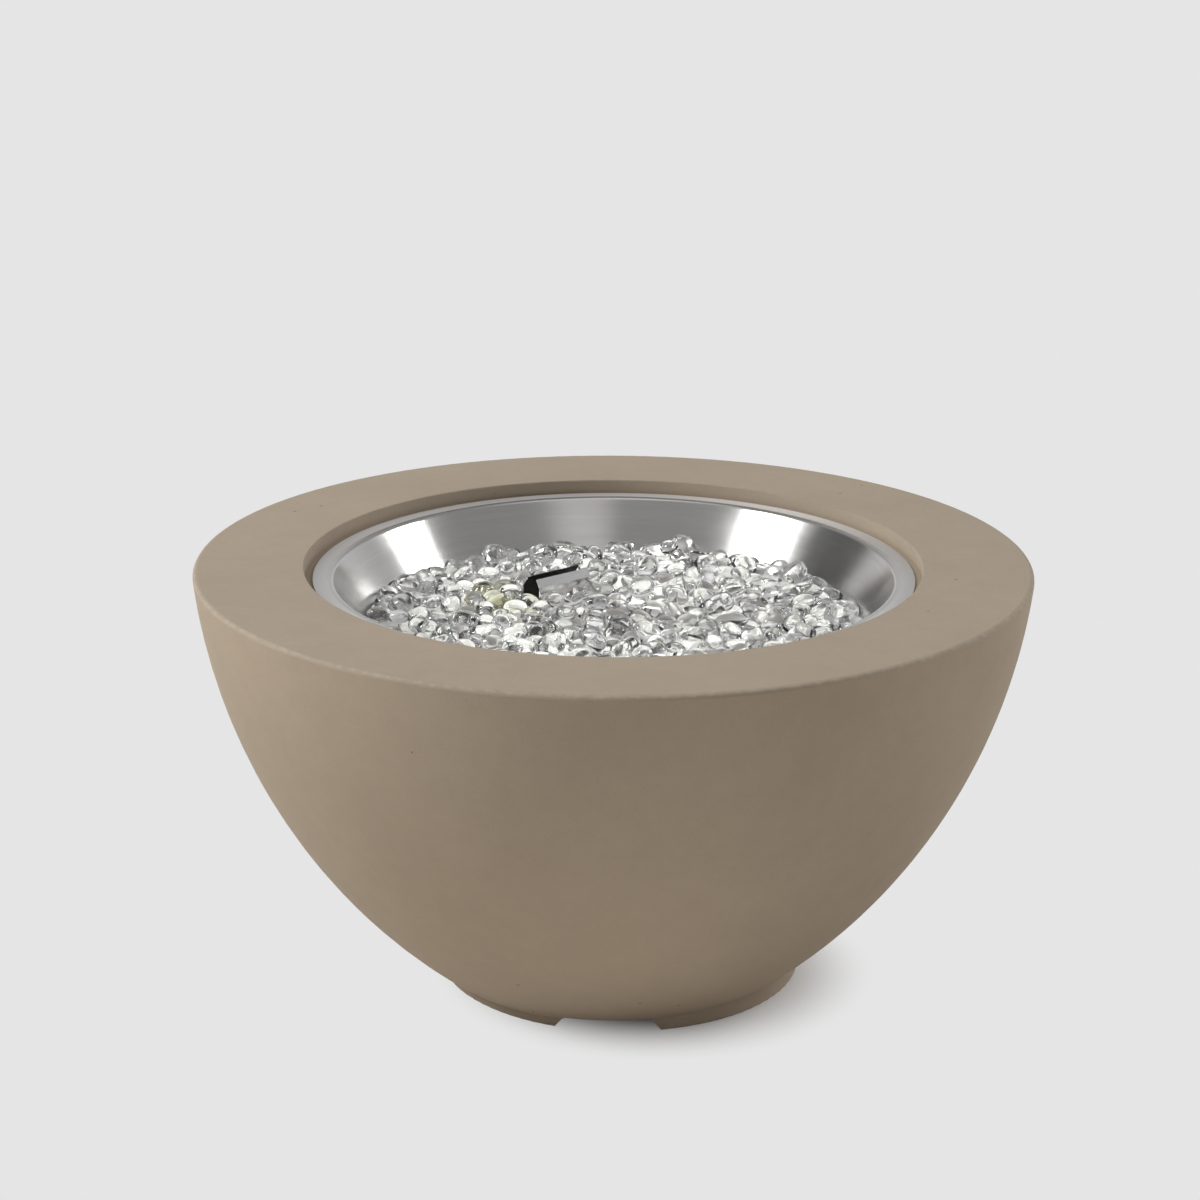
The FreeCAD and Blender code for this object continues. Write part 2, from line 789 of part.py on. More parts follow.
def make_fire_glass():
    """The loose glass as four blocks side by side that fill the pan round the burner and the pilot."""
    body = new_body("FireGlass")
    low = PAN_FLOOR + size.fill_gap
    bevel = size.pan_floor_round
    burner_top = PAN_FLOOR + size.ring_height + size.tube_radius + size.slot_gap
    half = size.tube_radius + size.slot_gap
    outline = new_sketch(body, "XZ_Plane")
    draw_outline(outline, [
        (0, low),
        (pan_radius(low) - bevel, low),
        (pan_radius(low + bevel) - size.fill_gap, low + bevel),
        (pan_radius(GLASS_TOP) - size.fill_gap, GLASS_TOP),
        (0, GLASS_TOP),
    ])
    revolve(body, outline)
    for ring in (size.outer_ring_radius, size.inner_ring_radius):
        slot = new_sketch(body, "XZ_Plane")
        draw_rectangle(slot, ring - half, PAN_UNDERSIDE, ring + half, burner_top)
        groove(body, slot)
    bar = new_sketch(body, "XY_Plane", at=(0, 0, burner_top), turn=-size.crossbar_turn)
    draw_rectangle(bar, -size.outer_ring_radius, -half, size.outer_ring_radius, half)
    pocket(body, bar, size.pan_depth)
    hub = new_sketch(body, "XY_Plane", at=(0, 0, burner_top))
    draw_circle(hub, size.hub_radius + size.slot_gap)
    pocket(body, hub, size.pan_depth)
    well = new_sketch(body, "XY_Plane", at=(-size.pilot_left, size.pilot_back, GLASS_TOP),
                      turn=size.pilot_turn)
    end = size.hood_length / 2 + size.slot_gap
    front = -(size.hood_front_half + size.slot_gap)
    rear = size.hood_rear_half + size.slot_gap
    draw_rectangle(well, -end, front, end, rear)
    pocket(body, well, size.pan_depth)
    partings = new_sketch(body, "XY_Plane", at=(-size.pilot_left, size.pilot_back, GLASS_TOP),
                          turn=size.pilot_turn)
    across = size.bend_radius * 2
    draw_rectangle(partings, -across, front, across, front + size.fill_part_gap)
    draw_rectangle(partings, -across, rear - size.fill_part_gap, across, rear)
    pocket(body, partings, size.pan_depth)
    node(body, "fire_glass", PAN)


# Ring burner and its inlet

def make_ring_burner():
    """Two tube rings joined by a crossbar and a threaded hub, with gas ports along their tops."""
    level = PAN_FLOOR + size.ring_height
    bar_turn = Rotation(UP, -size.crossbar_turn.value) * ALONG_X
    bar_x = -size.outer_ring_radius * cosine(size.crossbar_turn)
    bar_y = size.outer_ring_radius * sine(size.crossbar_turn)

    def tubes(inset):
        bar = cylinder(size.crossbar_radius - inset, size.outer_ring_radius * 2, (bar_x, bar_y, level),
                       bar_turn)
        rings = [torus(ring, size.tube_radius - inset, (0, 0, level))
                 for ring in (size.outer_ring_radius, size.inner_ring_radius)]
        return rings + [bar]

    hub = cylinder(size.hub_radius, size.ring_height + size.tube_radius, (0, 0, PAN_FLOOR))
    bore = cylinder(size.nipple_radius + size.thread_gap, size.nipple_above + size.thread_gap,
                    (0, 0, PAN_FLOOR))
    passage = cylinder(size.nipple_bore_radius, size.ring_height, (0, 0, PAN_FLOOR))
    metal = fuse(*tubes(0), hub)
    hollow = fuse(*tubes(size.tube_gauge), bore, passage)
    node(cut(cut(metal, hollow), burner_ports(level)), "ring_burner", PAN)


def burner_ports(level):
    """The drills of the gas ports, evenly spaced round both rings."""
    drills = []
    height = size.tube_radius.value * 2
    for ring, count in ((size.outer_ring_radius, OUTER_PORTS), (size.inner_ring_radius, INNER_PORTS)):
        for index in range(count):
            angle = math.tau * (index + 0.5) / count
            foot = Vector(ring.value * math.cos(angle), ring.value * math.sin(angle), level.value)
            drills.append(Part.makeCylinder(size.port_radius.value, height, foot))
    item = doc.addObject("Part::Feature", "Ports")
    item.Shape = Part.makeCompound(drills)
    return item


MIXER_TOP = PAN_FLOOR - size.mixer_below
MIXER_LOW = MIXER_TOP - size.mixer_length
SHOULDER_TOP = MIXER_LOW + size.mixer_floor
WINDOW_LOW = SHOULDER_TOP + size.window_above_floor


def make_inlet_pieces():
    """The pipe nipple that feeds the hub through the pan floor, and the locknut below it."""
    length = size.nipple_above + size.nipple_below
    low = PAN_FLOOR - size.nipple_below
    nipple = cut(cylinder(size.nipple_radius, length, (0, 0, low)),
                 cylinder(size.nipple_bore_radius, length, (0, 0, low)))
    node(nipple, "burner_nipple", PAN)
    low = PAN_UNDERSIDE - size.locknut_height
    nut = cut(hexagon(size.locknut_flats, size.locknut_height, (0, 0, low)),
              cylinder(size.nipple_radius + size.thread_gap, size.locknut_height, (0, 0, low)))
    node(nut, "burner_locknut", PAN)


def air_windows(reach):
    """A bar that cuts one pair of opposite air windows, along X."""
    return box(reach * 2, size.air_window_width, size.air_window_height,
               (-reach, -size.air_window_width / 2, WINDOW_LOW))


def make_air_mixer():
    """The cast mixer tube: a socket on the nipple, two air windows and a shoulder for the shutter."""
    body = new_body("AirMixer")
    socket_low = MIXER_TOP - size.mixer_socket_depth
    socket_bore = size.nipple_radius + size.thread_gap
    outline = new_sketch(body, "XZ_Plane")
    draw_outline(outline, [
        (size.orifice_nose_radius + size.thread_gap, MIXER_LOW),
        (size.shoulder_radius, MIXER_LOW),
        (size.shoulder_radius, MIXER_LOW + size.shoulder_height),
        (size.mixer_radius, MIXER_LOW + size.shoulder_height),
        (size.mixer_radius, socket_low - size.shoulder_height),
        (size.mixer_socket_radius, socket_low),
        (size.mixer_socket_radius, MIXER_TOP),
        (socket_bore, MIXER_TOP),
        (socket_bore, socket_low),
        (size.mixer_bore_radius, socket_low),
        (size.mixer_bore_radius, SHOULDER_TOP),
        (size.orifice_nose_radius + size.thread_gap, SHOULDER_TOP),
    ])
    revolve(body, outline)
    windows = new_sketch(body, "YZ_Plane", at=(0, 0, -size.shoulder_radius))
    half = size.air_window_width / 2
    draw_rectangle(windows, -half, WINDOW_LOW, half, WINDOW_LOW + size.air_window_height)
    pocket(body, windows, size.shoulder_radius * 2, along_normal=True)
    node(body, "air_mixer", PAN)


def make_air_shutter():
    """The sleeve that turns on the mixer to close its windows, and its clamping screw."""
    low = MIXER_LOW + size.shoulder_height
    inside = size.mixer_radius + size.shutter_gap
    outside = inside + size.shutter_wall
    level = low + size.shutter_height - size.shutter_wall
    screw_hole = cylinder(size.shutter_screw_radius + size.thread_gap, outside, (0, 0, level), ALONG_Y)
    sleeve = cut(cylinder(outside, size.shutter_height, (0, 0, low)),
                 cylinder(inside, size.shutter_height, (0, 0, low)),
                 air_windows(outside), screw_hole)
    node(sleeve, "air_shutter", PAN)
    start = inside + size.line_gap
    shank = cylinder(size.shutter_screw_radius, outside - start, (0, start, level), ALONG_Y)
    head = cylinder(size.shutter_screw_radius * 1.8, size.shutter_screw_length, (0, outside, level), ALONG_Y)
    node(fuse(shank, head), "shutter_screw", PAN)


def make_orifice_and_elbow():
    """The brass orifice under the mixer, and the elbow that turns the gas towards the hose."""
    hex_low = MIXER_LOW - size.orifice_hex_height
    thread_low = hex_low - size.orifice_thread_length
    nose_top = MIXER_LOW + size.orifice_nose_length
    solid = fuse(
        cylinder(size.orifice_thread_radius, size.orifice_thread_length, (0, 0, thread_low)),
        hexagon(size.orifice_flats, size.orifice_hex_height, (0, 0, hex_low)),
        cylinder(size.orifice_nose_radius, size.mixer_floor, (0, 0, MIXER_LOW)),
        cone(size.orifice_nose_radius, size.orifice_nose_radius / 2,
             size.orifice_nose_length - size.mixer_floor, (0, 0, SHOULDER_TOP)),
    )
    jet = cylinder(size.orifice_bore_radius, nose_top - thread_low, (0, 0, thread_low))
    node(cut(solid, jet), "gas_orifice", PAN)

    low = hex_low - size.elbow_drop
    level = low + size.elbow_radius
    body = fuse(cylinder(size.elbow_radius, size.elbow_drop, (0, 0, low)),
                cylinder(size.fitting_radius, size.elbow_reach, (0, 0, level), ALONG_Y))
    bores = [
        cylinder(size.orifice_thread_radius + size.thread_gap, size.orifice_thread_length,
                 (0, 0, thread_low)),
        cylinder(size.fitting_bore_radius, hex_low - level, (0, 0, level)),
        cylinder(size.fitting_bore_radius, size.elbow_reach, (0, 0, level), ALONG_Y),
    ]
    node(cut(body, *bores), "hose_elbow", PAN)

    start = size.elbow_reach - size.hose_nut_grip
    node(hose_nut((0, start, level), ALONG_Y), "hose_nut_mixer", PAN)
    return size.elbow_reach, level


def hose_nut(at, turn):
    """A swivel nut that grips a fitting with its first part and the hose with the rest."""
    nut = hexagon(size.hose_nut_flats, size.hose_nut_length, at, turn)
    grip = cylinder(size.fitting_radius + size.thread_gap, size.hose_nut_grip, at, turn)
    hose = cylinder(size.hose_radius + size.thread_gap, size.hose_nut_length, at, turn)
    return cut(nut, grip, hose)


# Pilot

def make_pilot_hood():
    """A folded sheet channel on the pan floor, with two leaning lips that leave a slot on top."""
    body = new_body("PilotHood")
    gauge = size.hood_gauge
    top = GLASS_TOP + size.hood_rise
    front = -size.hood_front_half
    rear = size.hood_rear_half
    front_eave = top - size.hood_front_drop
    rear_eave = top - size.hood_rear_drop
    front_tip = -size.hood_slot_half
    rear_tip = size.hood_slot_half
    outline = new_sketch(body, "YZ_Plane", at=(0, 0, -size.hood_length / 2))
    draw_outline(outline, [
        (front, PAN_FLOOR),
        (rear, PAN_FLOOR),
        (rear, rear_eave),
        (rear_tip, top),
        (rear_tip, top - gauge * 1.25),
        (rear - gauge, rear_eave - gauge / 2),
        (rear - gauge, PAN_FLOOR + gauge),
        (front + gauge, PAN_FLOOR + gauge),
        (front + gauge, front_eave - gauge / 2),
        (front_tip, top - gauge * 1.25),
        (front_tip, top),
        (front, front_eave),
    ])
    pad(body, outline, size.hood_length)
    holes = new_sketch(body, "XY_Plane", at=(0, 0, PAN_FLOOR + gauge))
    for radius, x in pilot_holes():
        draw_circle(holes, radius, x)
    pocket(body, holes, gauge)
    node(body, "pilot_hood", PILOT)


def make_pilot_bracket():
    """The black hat-shaped bracket inside the hood, with holes for what it carries."""
    body = new_body("PilotBracket")
    gauge = size.bracket_gauge
    low = PAN_FLOOR + size.hood_gauge
    high = low + size.bracket_height
    leg = size.bracket_shelf_half
    foot = leg + size.bracket_foot
    outline = new_sketch(body, "XZ_Plane", at=(0, 0, -size.bracket_width / 2))
    draw_outline(outline, [
        (-foot, low), (-leg + gauge, low), (-leg + gauge, high - gauge), (leg - gauge, high - gauge),
        (leg - gauge, low), (foot, low), (foot, low + gauge), (leg, low + gauge), (leg, high),
        (-leg, high), (-leg, low + gauge), (-foot, low + gauge),
    ])
    pad(body, outline, size.bracket_width)
    holes = new_sketch(body, "XY_Plane", at=(0, 0, high))
    gap = size.thread_gap
    draw_circle(holes, size.pilot_burner_radius + gap, size.pilot_burner_place)
    draw_circle(holes, size.insulator_radius + gap, -size.electrode_place)
    draw_circle(holes, size.thermocouple_radius + gap, size.thermocouple_place)
    pocket(body, holes, gauge)
    feet = new_sketch(body, "XY_Plane", at=(0, 0, low + gauge))
    for side in (-1, 1):
        draw_circle(feet, size.small_screw_radius + gap, size.bracket_screw_place * side)
    pocket(body, feet, gauge)
    node(body, "pilot_bracket", PILOT)


def make_pilot_pieces():
    """The pilot burner, spark electrode with insulator, thermocouple, and the bracket's screws."""
    tail = PAN_FLOOR - size.tails_below
    top = PAN_FLOOR + size.pilot_burner_top
    shelf = PAN_FLOOR + size.hood_gauge + size.bracket_height
    x = size.pilot_burner_place
    barrel_low = shelf - size.bracket_gauge - size.pilot_collar
    pilot = fuse(
        cylinder(size.pilot_stem_radius, barrel_low - tail, (x, 0, tail)),
        cylinder(size.pilot_burner_radius, top - barrel_low, (x, 0, barrel_low)),
    )
    slots = [box(size.pilot_burner_radius * 2, size.electrode_radius, size.pilot_collar,
                 (x - size.pilot_burner_radius, -size.electrode_radius / 2, top - size.pilot_collar)),
             cylinder(size.pilot_stem_radius / 3, top - tail, (x, 0, tail))]
    node(cut(pilot, *slots), "pilot_burner", PILOT)

    x = -size.electrode_place
    insulator_top = PAN_FLOOR + size.insulator_top
    electrode_top = PAN_FLOOR + size.electrode_top
    electrode_hole = cylinder(size.electrode_radius + size.thread_gap, insulator_top - tail, (x, 0, tail))
    sleeve = cylinder(size.insulator_radius, insulator_top - tail, (x, 0, tail))
    node(cut(sleeve, electrode_hole), "electrode_insulator", PILOT)
    rod = cylinder(size.electrode_radius, electrode_top - tail, (x, 0, tail))
    tip = cylinder(size.electrode_radius, size.electrode_reach,
                   (x, 0, electrode_top - size.electrode_radius), ALONG_X)
    node(fuse(rod, tip), "spark_electrode", PILOT)

    probe_top = PAN_FLOOR + size.thermocouple_top
    probe = cylinder(size.thermocouple_radius, probe_top - tail, (size.thermocouple_place, 0, tail))
    node(probe, "thermocouple", PILOT)

    seat = PAN_FLOOR + size.hood_gauge + size.bracket_gauge
    nut_low = PAN_UNDERSIDE - size.small_nut_height
    screws = []
    for side in (-1, 1):
        x = size.bracket_screw_place * side
        shank = cylinder(size.small_screw_radius, seat - nut_low, (x, 0, nut_low))
        head = cylinder(size.small_head_radius, size.small_head_height, (x, 0, seat))
        nut = hexagon(size.small_nut_flats, size.small_nut_height, (x, 0, nut_low))
        screws.append(fuse(shank, head, nut))
    node(group(*screws), "bracket_screws", PILOT)
    return tail


# Control plate and what it carries

def make_control_plate():
    """The flat stainless plate with its openings, and the screws and inserts that hold it."""
    body = new_body("ControlPlate")
    outline = new_sketch(body, "XY_Plane", at=(0, 0, -size.plate_gauge))
    draw_rounded(outline, size.plate_width / 2, size.plate_height / 2, size.plate_corner)
    pad(body, outline, size.plate_gauge)
    holes = new_sketch(body, "XY_Plane")
    gap = size.line_gap
    draw_circle(holes, size.neck_radius + gap)
    draw_circle(holes, size.igniter_radius + gap, -size.igniter_place)
    draw_circle(holes, size.fitting_radius + gap, size.inlet_place)
    for x, y in plate_screw_places():
        draw_circle(holes, size.plate_screw_radius + gap, x, y)
    pocket(body, holes, size.plate_gauge)
    node(body, "control_plate", PANEL)

    screws = []
    inserts = []
    back = -size.plate_gauge
    for x, y in plate_screw_places():
        shank = cylinder(size.plate_screw_radius, size.plate_screw_length, (x, y, -size.plate_screw_length))
        head = cylinder(size.plate_head_radius, size.plate_head_height, (x, y, 0))
        screws.append(fuse(shank, head))
        sleeve = cylinder(size.insert_radius - size.thread_gap, size.insert_length,
                          (x, y, back - size.insert_length))
        bore = cylinder(size.plate_screw_radius + size.thread_gap, size.insert_length,
                        (x, y, back - size.insert_length))
        inserts.append(cut(sleeve, bore))
    node(group(*screws), "plate_screws", PANEL)
    node(group(*inserts), "plate_inserts", PANEL)


def make_gas_valve():
    """The brass valve body behind the plate, with its neck, ports and stem bore, and its nut."""
    half = size.valve_half
    back = -size.plate_gauge
    block = box(half * 2, half * 2, size.valve_far - size.valve_near, (-half, -half, -size.valve_far))
    shoulder = cylinder(size.valve_shoulder_radius, size.valve_near - size.plate_gauge,
                        (0, 0, -size.valve_near))
    neck = cylinder(size.neck_radius, size.neck_out + size.plate_gauge, (0, 0, back))
    outlet = cylinder(size.fitting_radius, size.outlet_length, (0, half, -size.outlet_in), ALONG_Y)
    inlet = cylinder(size.inlet_port_radius, size.inlet_port_length, (half, 0, -size.inlet_port_in), ALONG_X)
    place_out = size.small_port_place
    pilot_port = cylinder(size.small_port_radius, size.small_port_length,
                          (-place_out, -place_out, -size.valve_far - size.small_port_length))
    sensor_port = cylinder(size.small_port_radius, size.small_port_length,
                           (place_out, -place_out, -size.valve_far - size.small_port_length))
    stem_bore = cylinder(size.stem_radius + size.stem_gap, size.stem_in + size.knob_travel * 1.5
                         + size.neck_out, (0, 0, -size.stem_in - size.knob_travel * 1.5))
    outlet_bore = cylinder(size.fitting_bore_radius, size.outlet_length, (0, half, -size.outlet_in), ALONG_Y)
    inlet_bore = cylinder(size.fitting_bore_radius, size.inlet_port_length,
                          (half, 0, -size.inlet_port_in), ALONG_X)
    node(cut(fuse(block, shoulder, neck, outlet, inlet, pilot_port, sensor_port),
             stem_bore, outlet_bore, inlet_bore), "gas_valve", PANEL)

    nut = cut(hexagon(size.valve_nut_flats, size.valve_nut_height),
              cylinder(size.neck_radius + size.thread_gap, size.valve_nut_height))
    node(nut, "valve_nut", PANEL)
    start = half + size.outlet_length - size.hose_nut_grip
    node(hose_nut((0, start, -size.outlet_in), ALONG_Y), "hose_nut_valve", PANEL)


KNOB_LOW = size.neck_out + size.knob_travel + size.washer_height + size.knob_clear * 2


def make_knob():
    """The fluted knob on its stem, the thrust washer under it and its grub screw."""
    body = new_body("Knob")
    top = KNOB_LOW + size.knob_height
    skirt_top = KNOB_LOW + size.knob_skirt_height
    bore = size.stem_radius + size.thread_gap
    outline = new_sketch(body, "XZ_Plane")
    draw_outline(outline, [
        (bore, KNOB_LOW), (size.knob_radius, KNOB_LOW), (size.knob_radius, skirt_top),
        (size.knob_grip_radius, skirt_top), (size.knob_grip_radius, top), (0, top),
        (0, KNOB_LOW + size.knob_bore_depth), (bore, KNOB_LOW + size.knob_bore_depth),
    ])
    turned = revolve(body, outline)
    round_circles(body, turned, [(size.knob_grip_radius, top), (size.knob_radius, skirt_top)],
                  size.button_round)
    flute = new_sketch(body, "XY_Plane", at=(0, 0, skirt_top + size.button_round))
    draw_circle(flute, size.knob_flute_radius, size.knob_grip_radius + size.knob_flute_radius / 2)
    pattern(body, pocket(body, flute, size.knob_height, along_normal=True), KNOB_FLUTES)
    pointer = new_sketch(body, "XY_Plane", at=(0, 0, top))
    draw_rectangle(pointer, -size.button_round, -size.knob_grip_radius, size.button_round,
                   -size.knob_grip_radius / 3)
    pocket(body, pointer, size.button_round)
    screw = new_sketch(body, "XZ_Plane")
    level = KNOB_LOW + size.knob_skirt_height / 2
    draw_circle(screw, size.knob_screw_radius + size.thread_gap, 0, level)
    pocket(body, screw, size.knob_radius * 1.2)
    node(body, "knob", PANEL)

    stem = cylinder(size.stem_radius, size.stem_in + KNOB_LOW + size.knob_bore_depth, (0, 0, -size.stem_in))
    node(stem, "valve_stem", PANEL)
    start = size.stem_radius + size.line_gap
    grub = cylinder(size.knob_screw_radius, size.knob_radius - start - size.knob_clear, (0, start, level),
                    ALONG_Y)
    node(grub, "knob_screw", PANEL)
    low = KNOB_LOW - size.washer_height - size.knob_clear / 2
    washer = cut(cylinder(size.washer_radius, size.washer_height, (0, 0, low)),
                 cylinder(size.stem_radius + size.stem_gap, size.washer_height, (0, 0, low)))
    node(washer, "thrust_washer", PANEL)


def make_gas_inlet():
    """The bulkhead fitting for the hose, its locknut, and the bent tube that feeds the valve."""
    x = size.inlet_place
    tail = -size.inlet_tail
    front = size.inlet_hex_height
    nose_top = front + size.inlet_nose_length
    body = fuse(
        cylinder(size.fitting_radius, size.inlet_tail, (x, 0, tail)),
        hexagon(size.inlet_hex_flats, size.inlet_hex_height, (x, 0, 0)),
        cylinder(size.fitting_radius, size.inlet_nose_length, (x, 0, front)),
        cone(size.fitting_radius, size.fitting_bore_radius + 1, size.inlet_seat_length, (x, 0, nose_top)),
    )
    bore = cylinder(size.fitting_bore_radius, nose_top + size.inlet_seat_length - tail, (x, 0, tail))
    node(cut(body, bore), "inlet_fitting", PANEL)
    low = -size.plate_gauge - size.inlet_nut_height
    nut = cut(hexagon(size.inlet_hex_flats, size.inlet_nut_height, (x, 0, low)),
              cylinder(size.fitting_radius + size.thread_gap, size.inlet_nut_height, (x, 0, low)))
    node(nut, "inlet_locknut", PANEL)

    port_end = size.valve_half + size.inlet_port_length
    path = bent_path([Vector(x.value, 0, tail.value - size.line_gap.value),
                      Vector(x.value, 0, -size.inlet_port_in.value),
                      Vector(port_end.value + size.line_gap.value, 0, -size.inlet_port_in.value)],
                     [size.supply_bend.value])
    tube = doc.addObject("Part::Feature", "SupplyTube")
    tube.Shape = sweep(path, size.supply_radius.value)
    node(tube, "supply_tube", PANEL)

    grip = size.supply_nut_grip
    nuts = []
    for at, turn, fitting in (
        ((x, 0, tail + grip), Rotation(Vector(1, 0, 0), 180), size.fitting_radius),
        ((port_end - grip, 0, -size.inlet_port_in), ALONG_X, size.inlet_port_radius),
    ):
        nut = hexagon(size.supply_nut_flats, size.supply_nut_length, at, turn)
        over = cylinder(fitting + size.thread_gap, grip, at, turn)
        through = cylinder(size.supply_radius + size.thread_gap, size.supply_nut_length, at, turn)
        nuts.append(cut(nut, over, through))
    node(group(*nuts), "tube_nuts", PANEL)


def make_igniter():
    """The igniter barrel with its flange and terminal, its nut, battery and push button."""
    x = -size.igniter_place
    low = -size.igniter_length
    front = size.igniter_flange_height
    barrel = fuse(
        cylinder(size.igniter_radius, size.igniter_length, (x, 0, low)),
        cylinder(size.igniter_flange_radius, front, (x, 0, 0)),
        cylinder(size.terminal_radius, size.terminal_length, (x, 0, low - size.terminal_length)),
    )
    inside = low + size.igniter_end
    node(cut(barrel, cylinder(size.igniter_bore_radius, front - inside, (x, 0, inside))),
         "igniter_body", PANEL)
    nut_low = -size.plate_gauge - size.igniter_nut_height
    nut = cut(hexagon(size.igniter_nut_flats, size.igniter_nut_height, (x, 0, nut_low)),
              cylinder(size.igniter_radius + size.thread_gap, size.igniter_nut_height, (x, 0, nut_low)))
    node(nut, "igniter_nut", PANEL)
    cell = fuse(cylinder(size.battery_radius, size.battery_length, (x, 0, inside)),
                cylinder(size.battery_nub_radius, size.battery_nub_height,
                         (x, 0, inside + size.battery_length)))
    node(cell, "igniter_battery", PANEL)

    body = new_body("IgniterButton")
    top = front + size.button_proud
    outline = new_sketch(body, "XZ_Plane")
    draw_rectangle(outline, 0, top - size.button_length, size.button_radius, top)
    round_circles(body, revolve(body, outline), [(size.button_radius, top)], size.button_round)
    seat = Frame(-size.igniter_place, PANEL.base[1], PANEL.base[2], PANEL.axis, PANEL.turn)
    node(body, "igniter_button", seat)
    return low - size.terminal_length


# Lines that hang between the control plate and the lift-out pan

def bent_path(points, radii):
    """Straight runs through points, joined by tangent arcs of the given radii."""
    edges = []
    start = points[0]
    for index, radius in enumerate(radii, start=1):
        corner = points[index]
        into = (corner - points[index - 1]).normalize()
        out = (points[index + 1] - corner).normalize()
        half = into.getAngle(out) / 2
        setback = radius * math.tan(half)
        first = corner - into * setback
        last = corner + out * setback
        middle = corner + (out - into).normalize() * (radius / math.cos(half) - radius)
        edges.append(Part.LineSegment(start, first).toShape())
        edges.append(Part.Arc(first, middle, last).toShape())
        start = last
    edges.append(Part.LineSegment(start, points[-1]).toShape())
    return Part.Wire(edges)


def easy_radii(points):
    """The largest arcs that the runs beside each point allow."""
    radii = []
    for index in range(1, len(points) - 1):
        into = points[index] - points[index - 1]
        out = points[index + 1] - points[index]
        half = into.getAngle(out) / 2
        radii.append(0.45 * min(into.Length, out.Length) / math.tan(half))
    return radii


def sweep(path, radius):
    """A round tube along a path, with its volume checked against section times length."""
    start = path.Edges[0]
    ahead = start.tangentAt(start.FirstParameter)
    ring = Part.Wire([Part.Circle(start.valueAt(start.FirstParameter), ahead, radius).toShape()])
    solid = path.makePipeShell([ring], True, False)
    expected = math.pi * radius ** 2 * path.Length
    if abs(solid.Volume - expected) > 0.01 * expected:
        raise RuntimeError("a tube's volume differs from its section times its length")
    return solid


def slack_points(first, last, shares):
    """Points of a slack line between two leads: along, right and up, as shares of the gap."""
    gap = last - first
    return [first + gap * along + Vector(right, 0, up) * gap.Length
            for along, right, up in shares]


def make_line(label, radius, leads, shares):
    """One flexible line: a straight lead at each end and the slack between them."""
    points = leads[:2] + slack_points(leads[1], leads[2], shares) + leads[2:]
    radii = easy_radii(points)
    print(label, "bend radii", [round(value) for value in radii])
    item = doc.addObject("Part::Feature", "Line")
    item.Shape = sweep(bent_path(points, radii), radius.value)
    node(item, label)


def make_lines(elbow_reach, elbow_level, pilot_tail, igniter_end):
    """The gas hose, pilot tube and two leads, each with slack for lifting the pan."""
    gap = size.line_gap
    outlet = size.valve_half + size.outlet_length + gap
    make_line("gas_hose", size.hose_radius, [
        PAN.point(0, elbow_reach + gap, elbow_level),
        PAN.point(0, elbow_reach + size.hose_lead, elbow_level),
        PANEL.point(0, outlet + size.hose_lead, -size.outlet_in),
        PANEL.point(0, outlet, -size.outlet_in),
    ], [(0.183, 0.054, -0.075), (0.402, 0.097, -0.187), (0.621, 0.091, -0.216),
        (0.84, 0.036, -0.147)])
    port = size.small_port_place
    port_end = -size.valve_far - size.small_port_length - gap
    make_line("pilot_tube", size.pilot_tube_radius, [
        PILOT.point(size.pilot_burner_place, 0, pilot_tail - gap),
        PILOT.point(size.pilot_burner_place, 0, pilot_tail - size.tail_lead),
        PANEL.point(-port, -port, port_end - size.tail_lead),
        PANEL.point(-port, -port, port_end),
    ], [(0.11, -0.053, -0.113), (0.305, -0.073, -0.168), (0.505, -0.061, -0.16),
        (0.683, -0.035, -0.105), (0.839, -0.004, -0.035)])
    make_line("thermocouple_lead", size.thermocouple_lead_radius, [
        PILOT.point(size.thermocouple_place, 0, pilot_tail - gap),
        PILOT.point(size.thermocouple_place, 0, pilot_tail - size.tail_lead),
        PANEL.point(port, -port, port_end - size.tail_lead),
        PANEL.point(port, -port, port_end),
    ], [(0.129, -0.006, -0.142), (0.286, -0.015, -0.222), (0.472, -0.009, -0.2),
        (0.658, -0.003, -0.135), (0.82, 0.009, -0.048)])
    make_line("igniter_lead", size.igniter_lead_radius, [
        PILOT.point(-size.electrode_place, 0, pilot_tail - gap),
        PILOT.point(-size.electrode_place, 0, pilot_tail - size.tail_lead),
        PANEL.point(-size.igniter_place, 0, igniter_end - size.tail_lead),
        PANEL.point(-size.igniter_place, 0, igniter_end - gap),
    ], [(0.094, -0.053, -0.134), (0.266, -0.117, -0.204), (0.471, -0.128, -0.186),
        (0.676, -0.094, -0.128), (0.859, -0.037, -0.05)])


def export_nodes():
    """Checks every object, then writes each piece to its own file."""
    doc.recompute()
    for item in doc.Objects:
        if "Invalid" in item.State or "Error" in item.State:
            raise RuntimeError(f"{item.Name} ({item.Label}) did not build: {item.State}")
    os.makedirs("parts", exist_ok=True)
    for item in nodes:
        shape = item.Shape
        if shape.isNull() or not shape.isValid() or not shape.Solids:
            raise RuntimeError(f"{item.Label} has no valid solid")
        shape.exportStep(f"parts/{item.Label}.step")
    print(len(nodes), "pieces")


make_bowl()
make_burner_pan()
make_fire_glass()
make_ring_burner()
make_inlet_pieces()
make_air_mixer()
make_air_shutter()
hose_reach, hose_level = make_orifice_and_elbow()
make_pilot_hood()
make_pilot_bracket()
pilot_end = make_pilot_pieces()
make_control_plate()
make_gas_valve()
make_knob()
make_gas_inlet()
igniter_tail = make_igniter()
make_lines(hose_reach, hose_level, pilot_end, igniter_tail)
export_nodes()
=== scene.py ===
import json
import math
import random

import bmesh
import bpy
import numpy as np
from mathutils import Matrix, Vector, noise
from mathutils.kdtree import KDTree


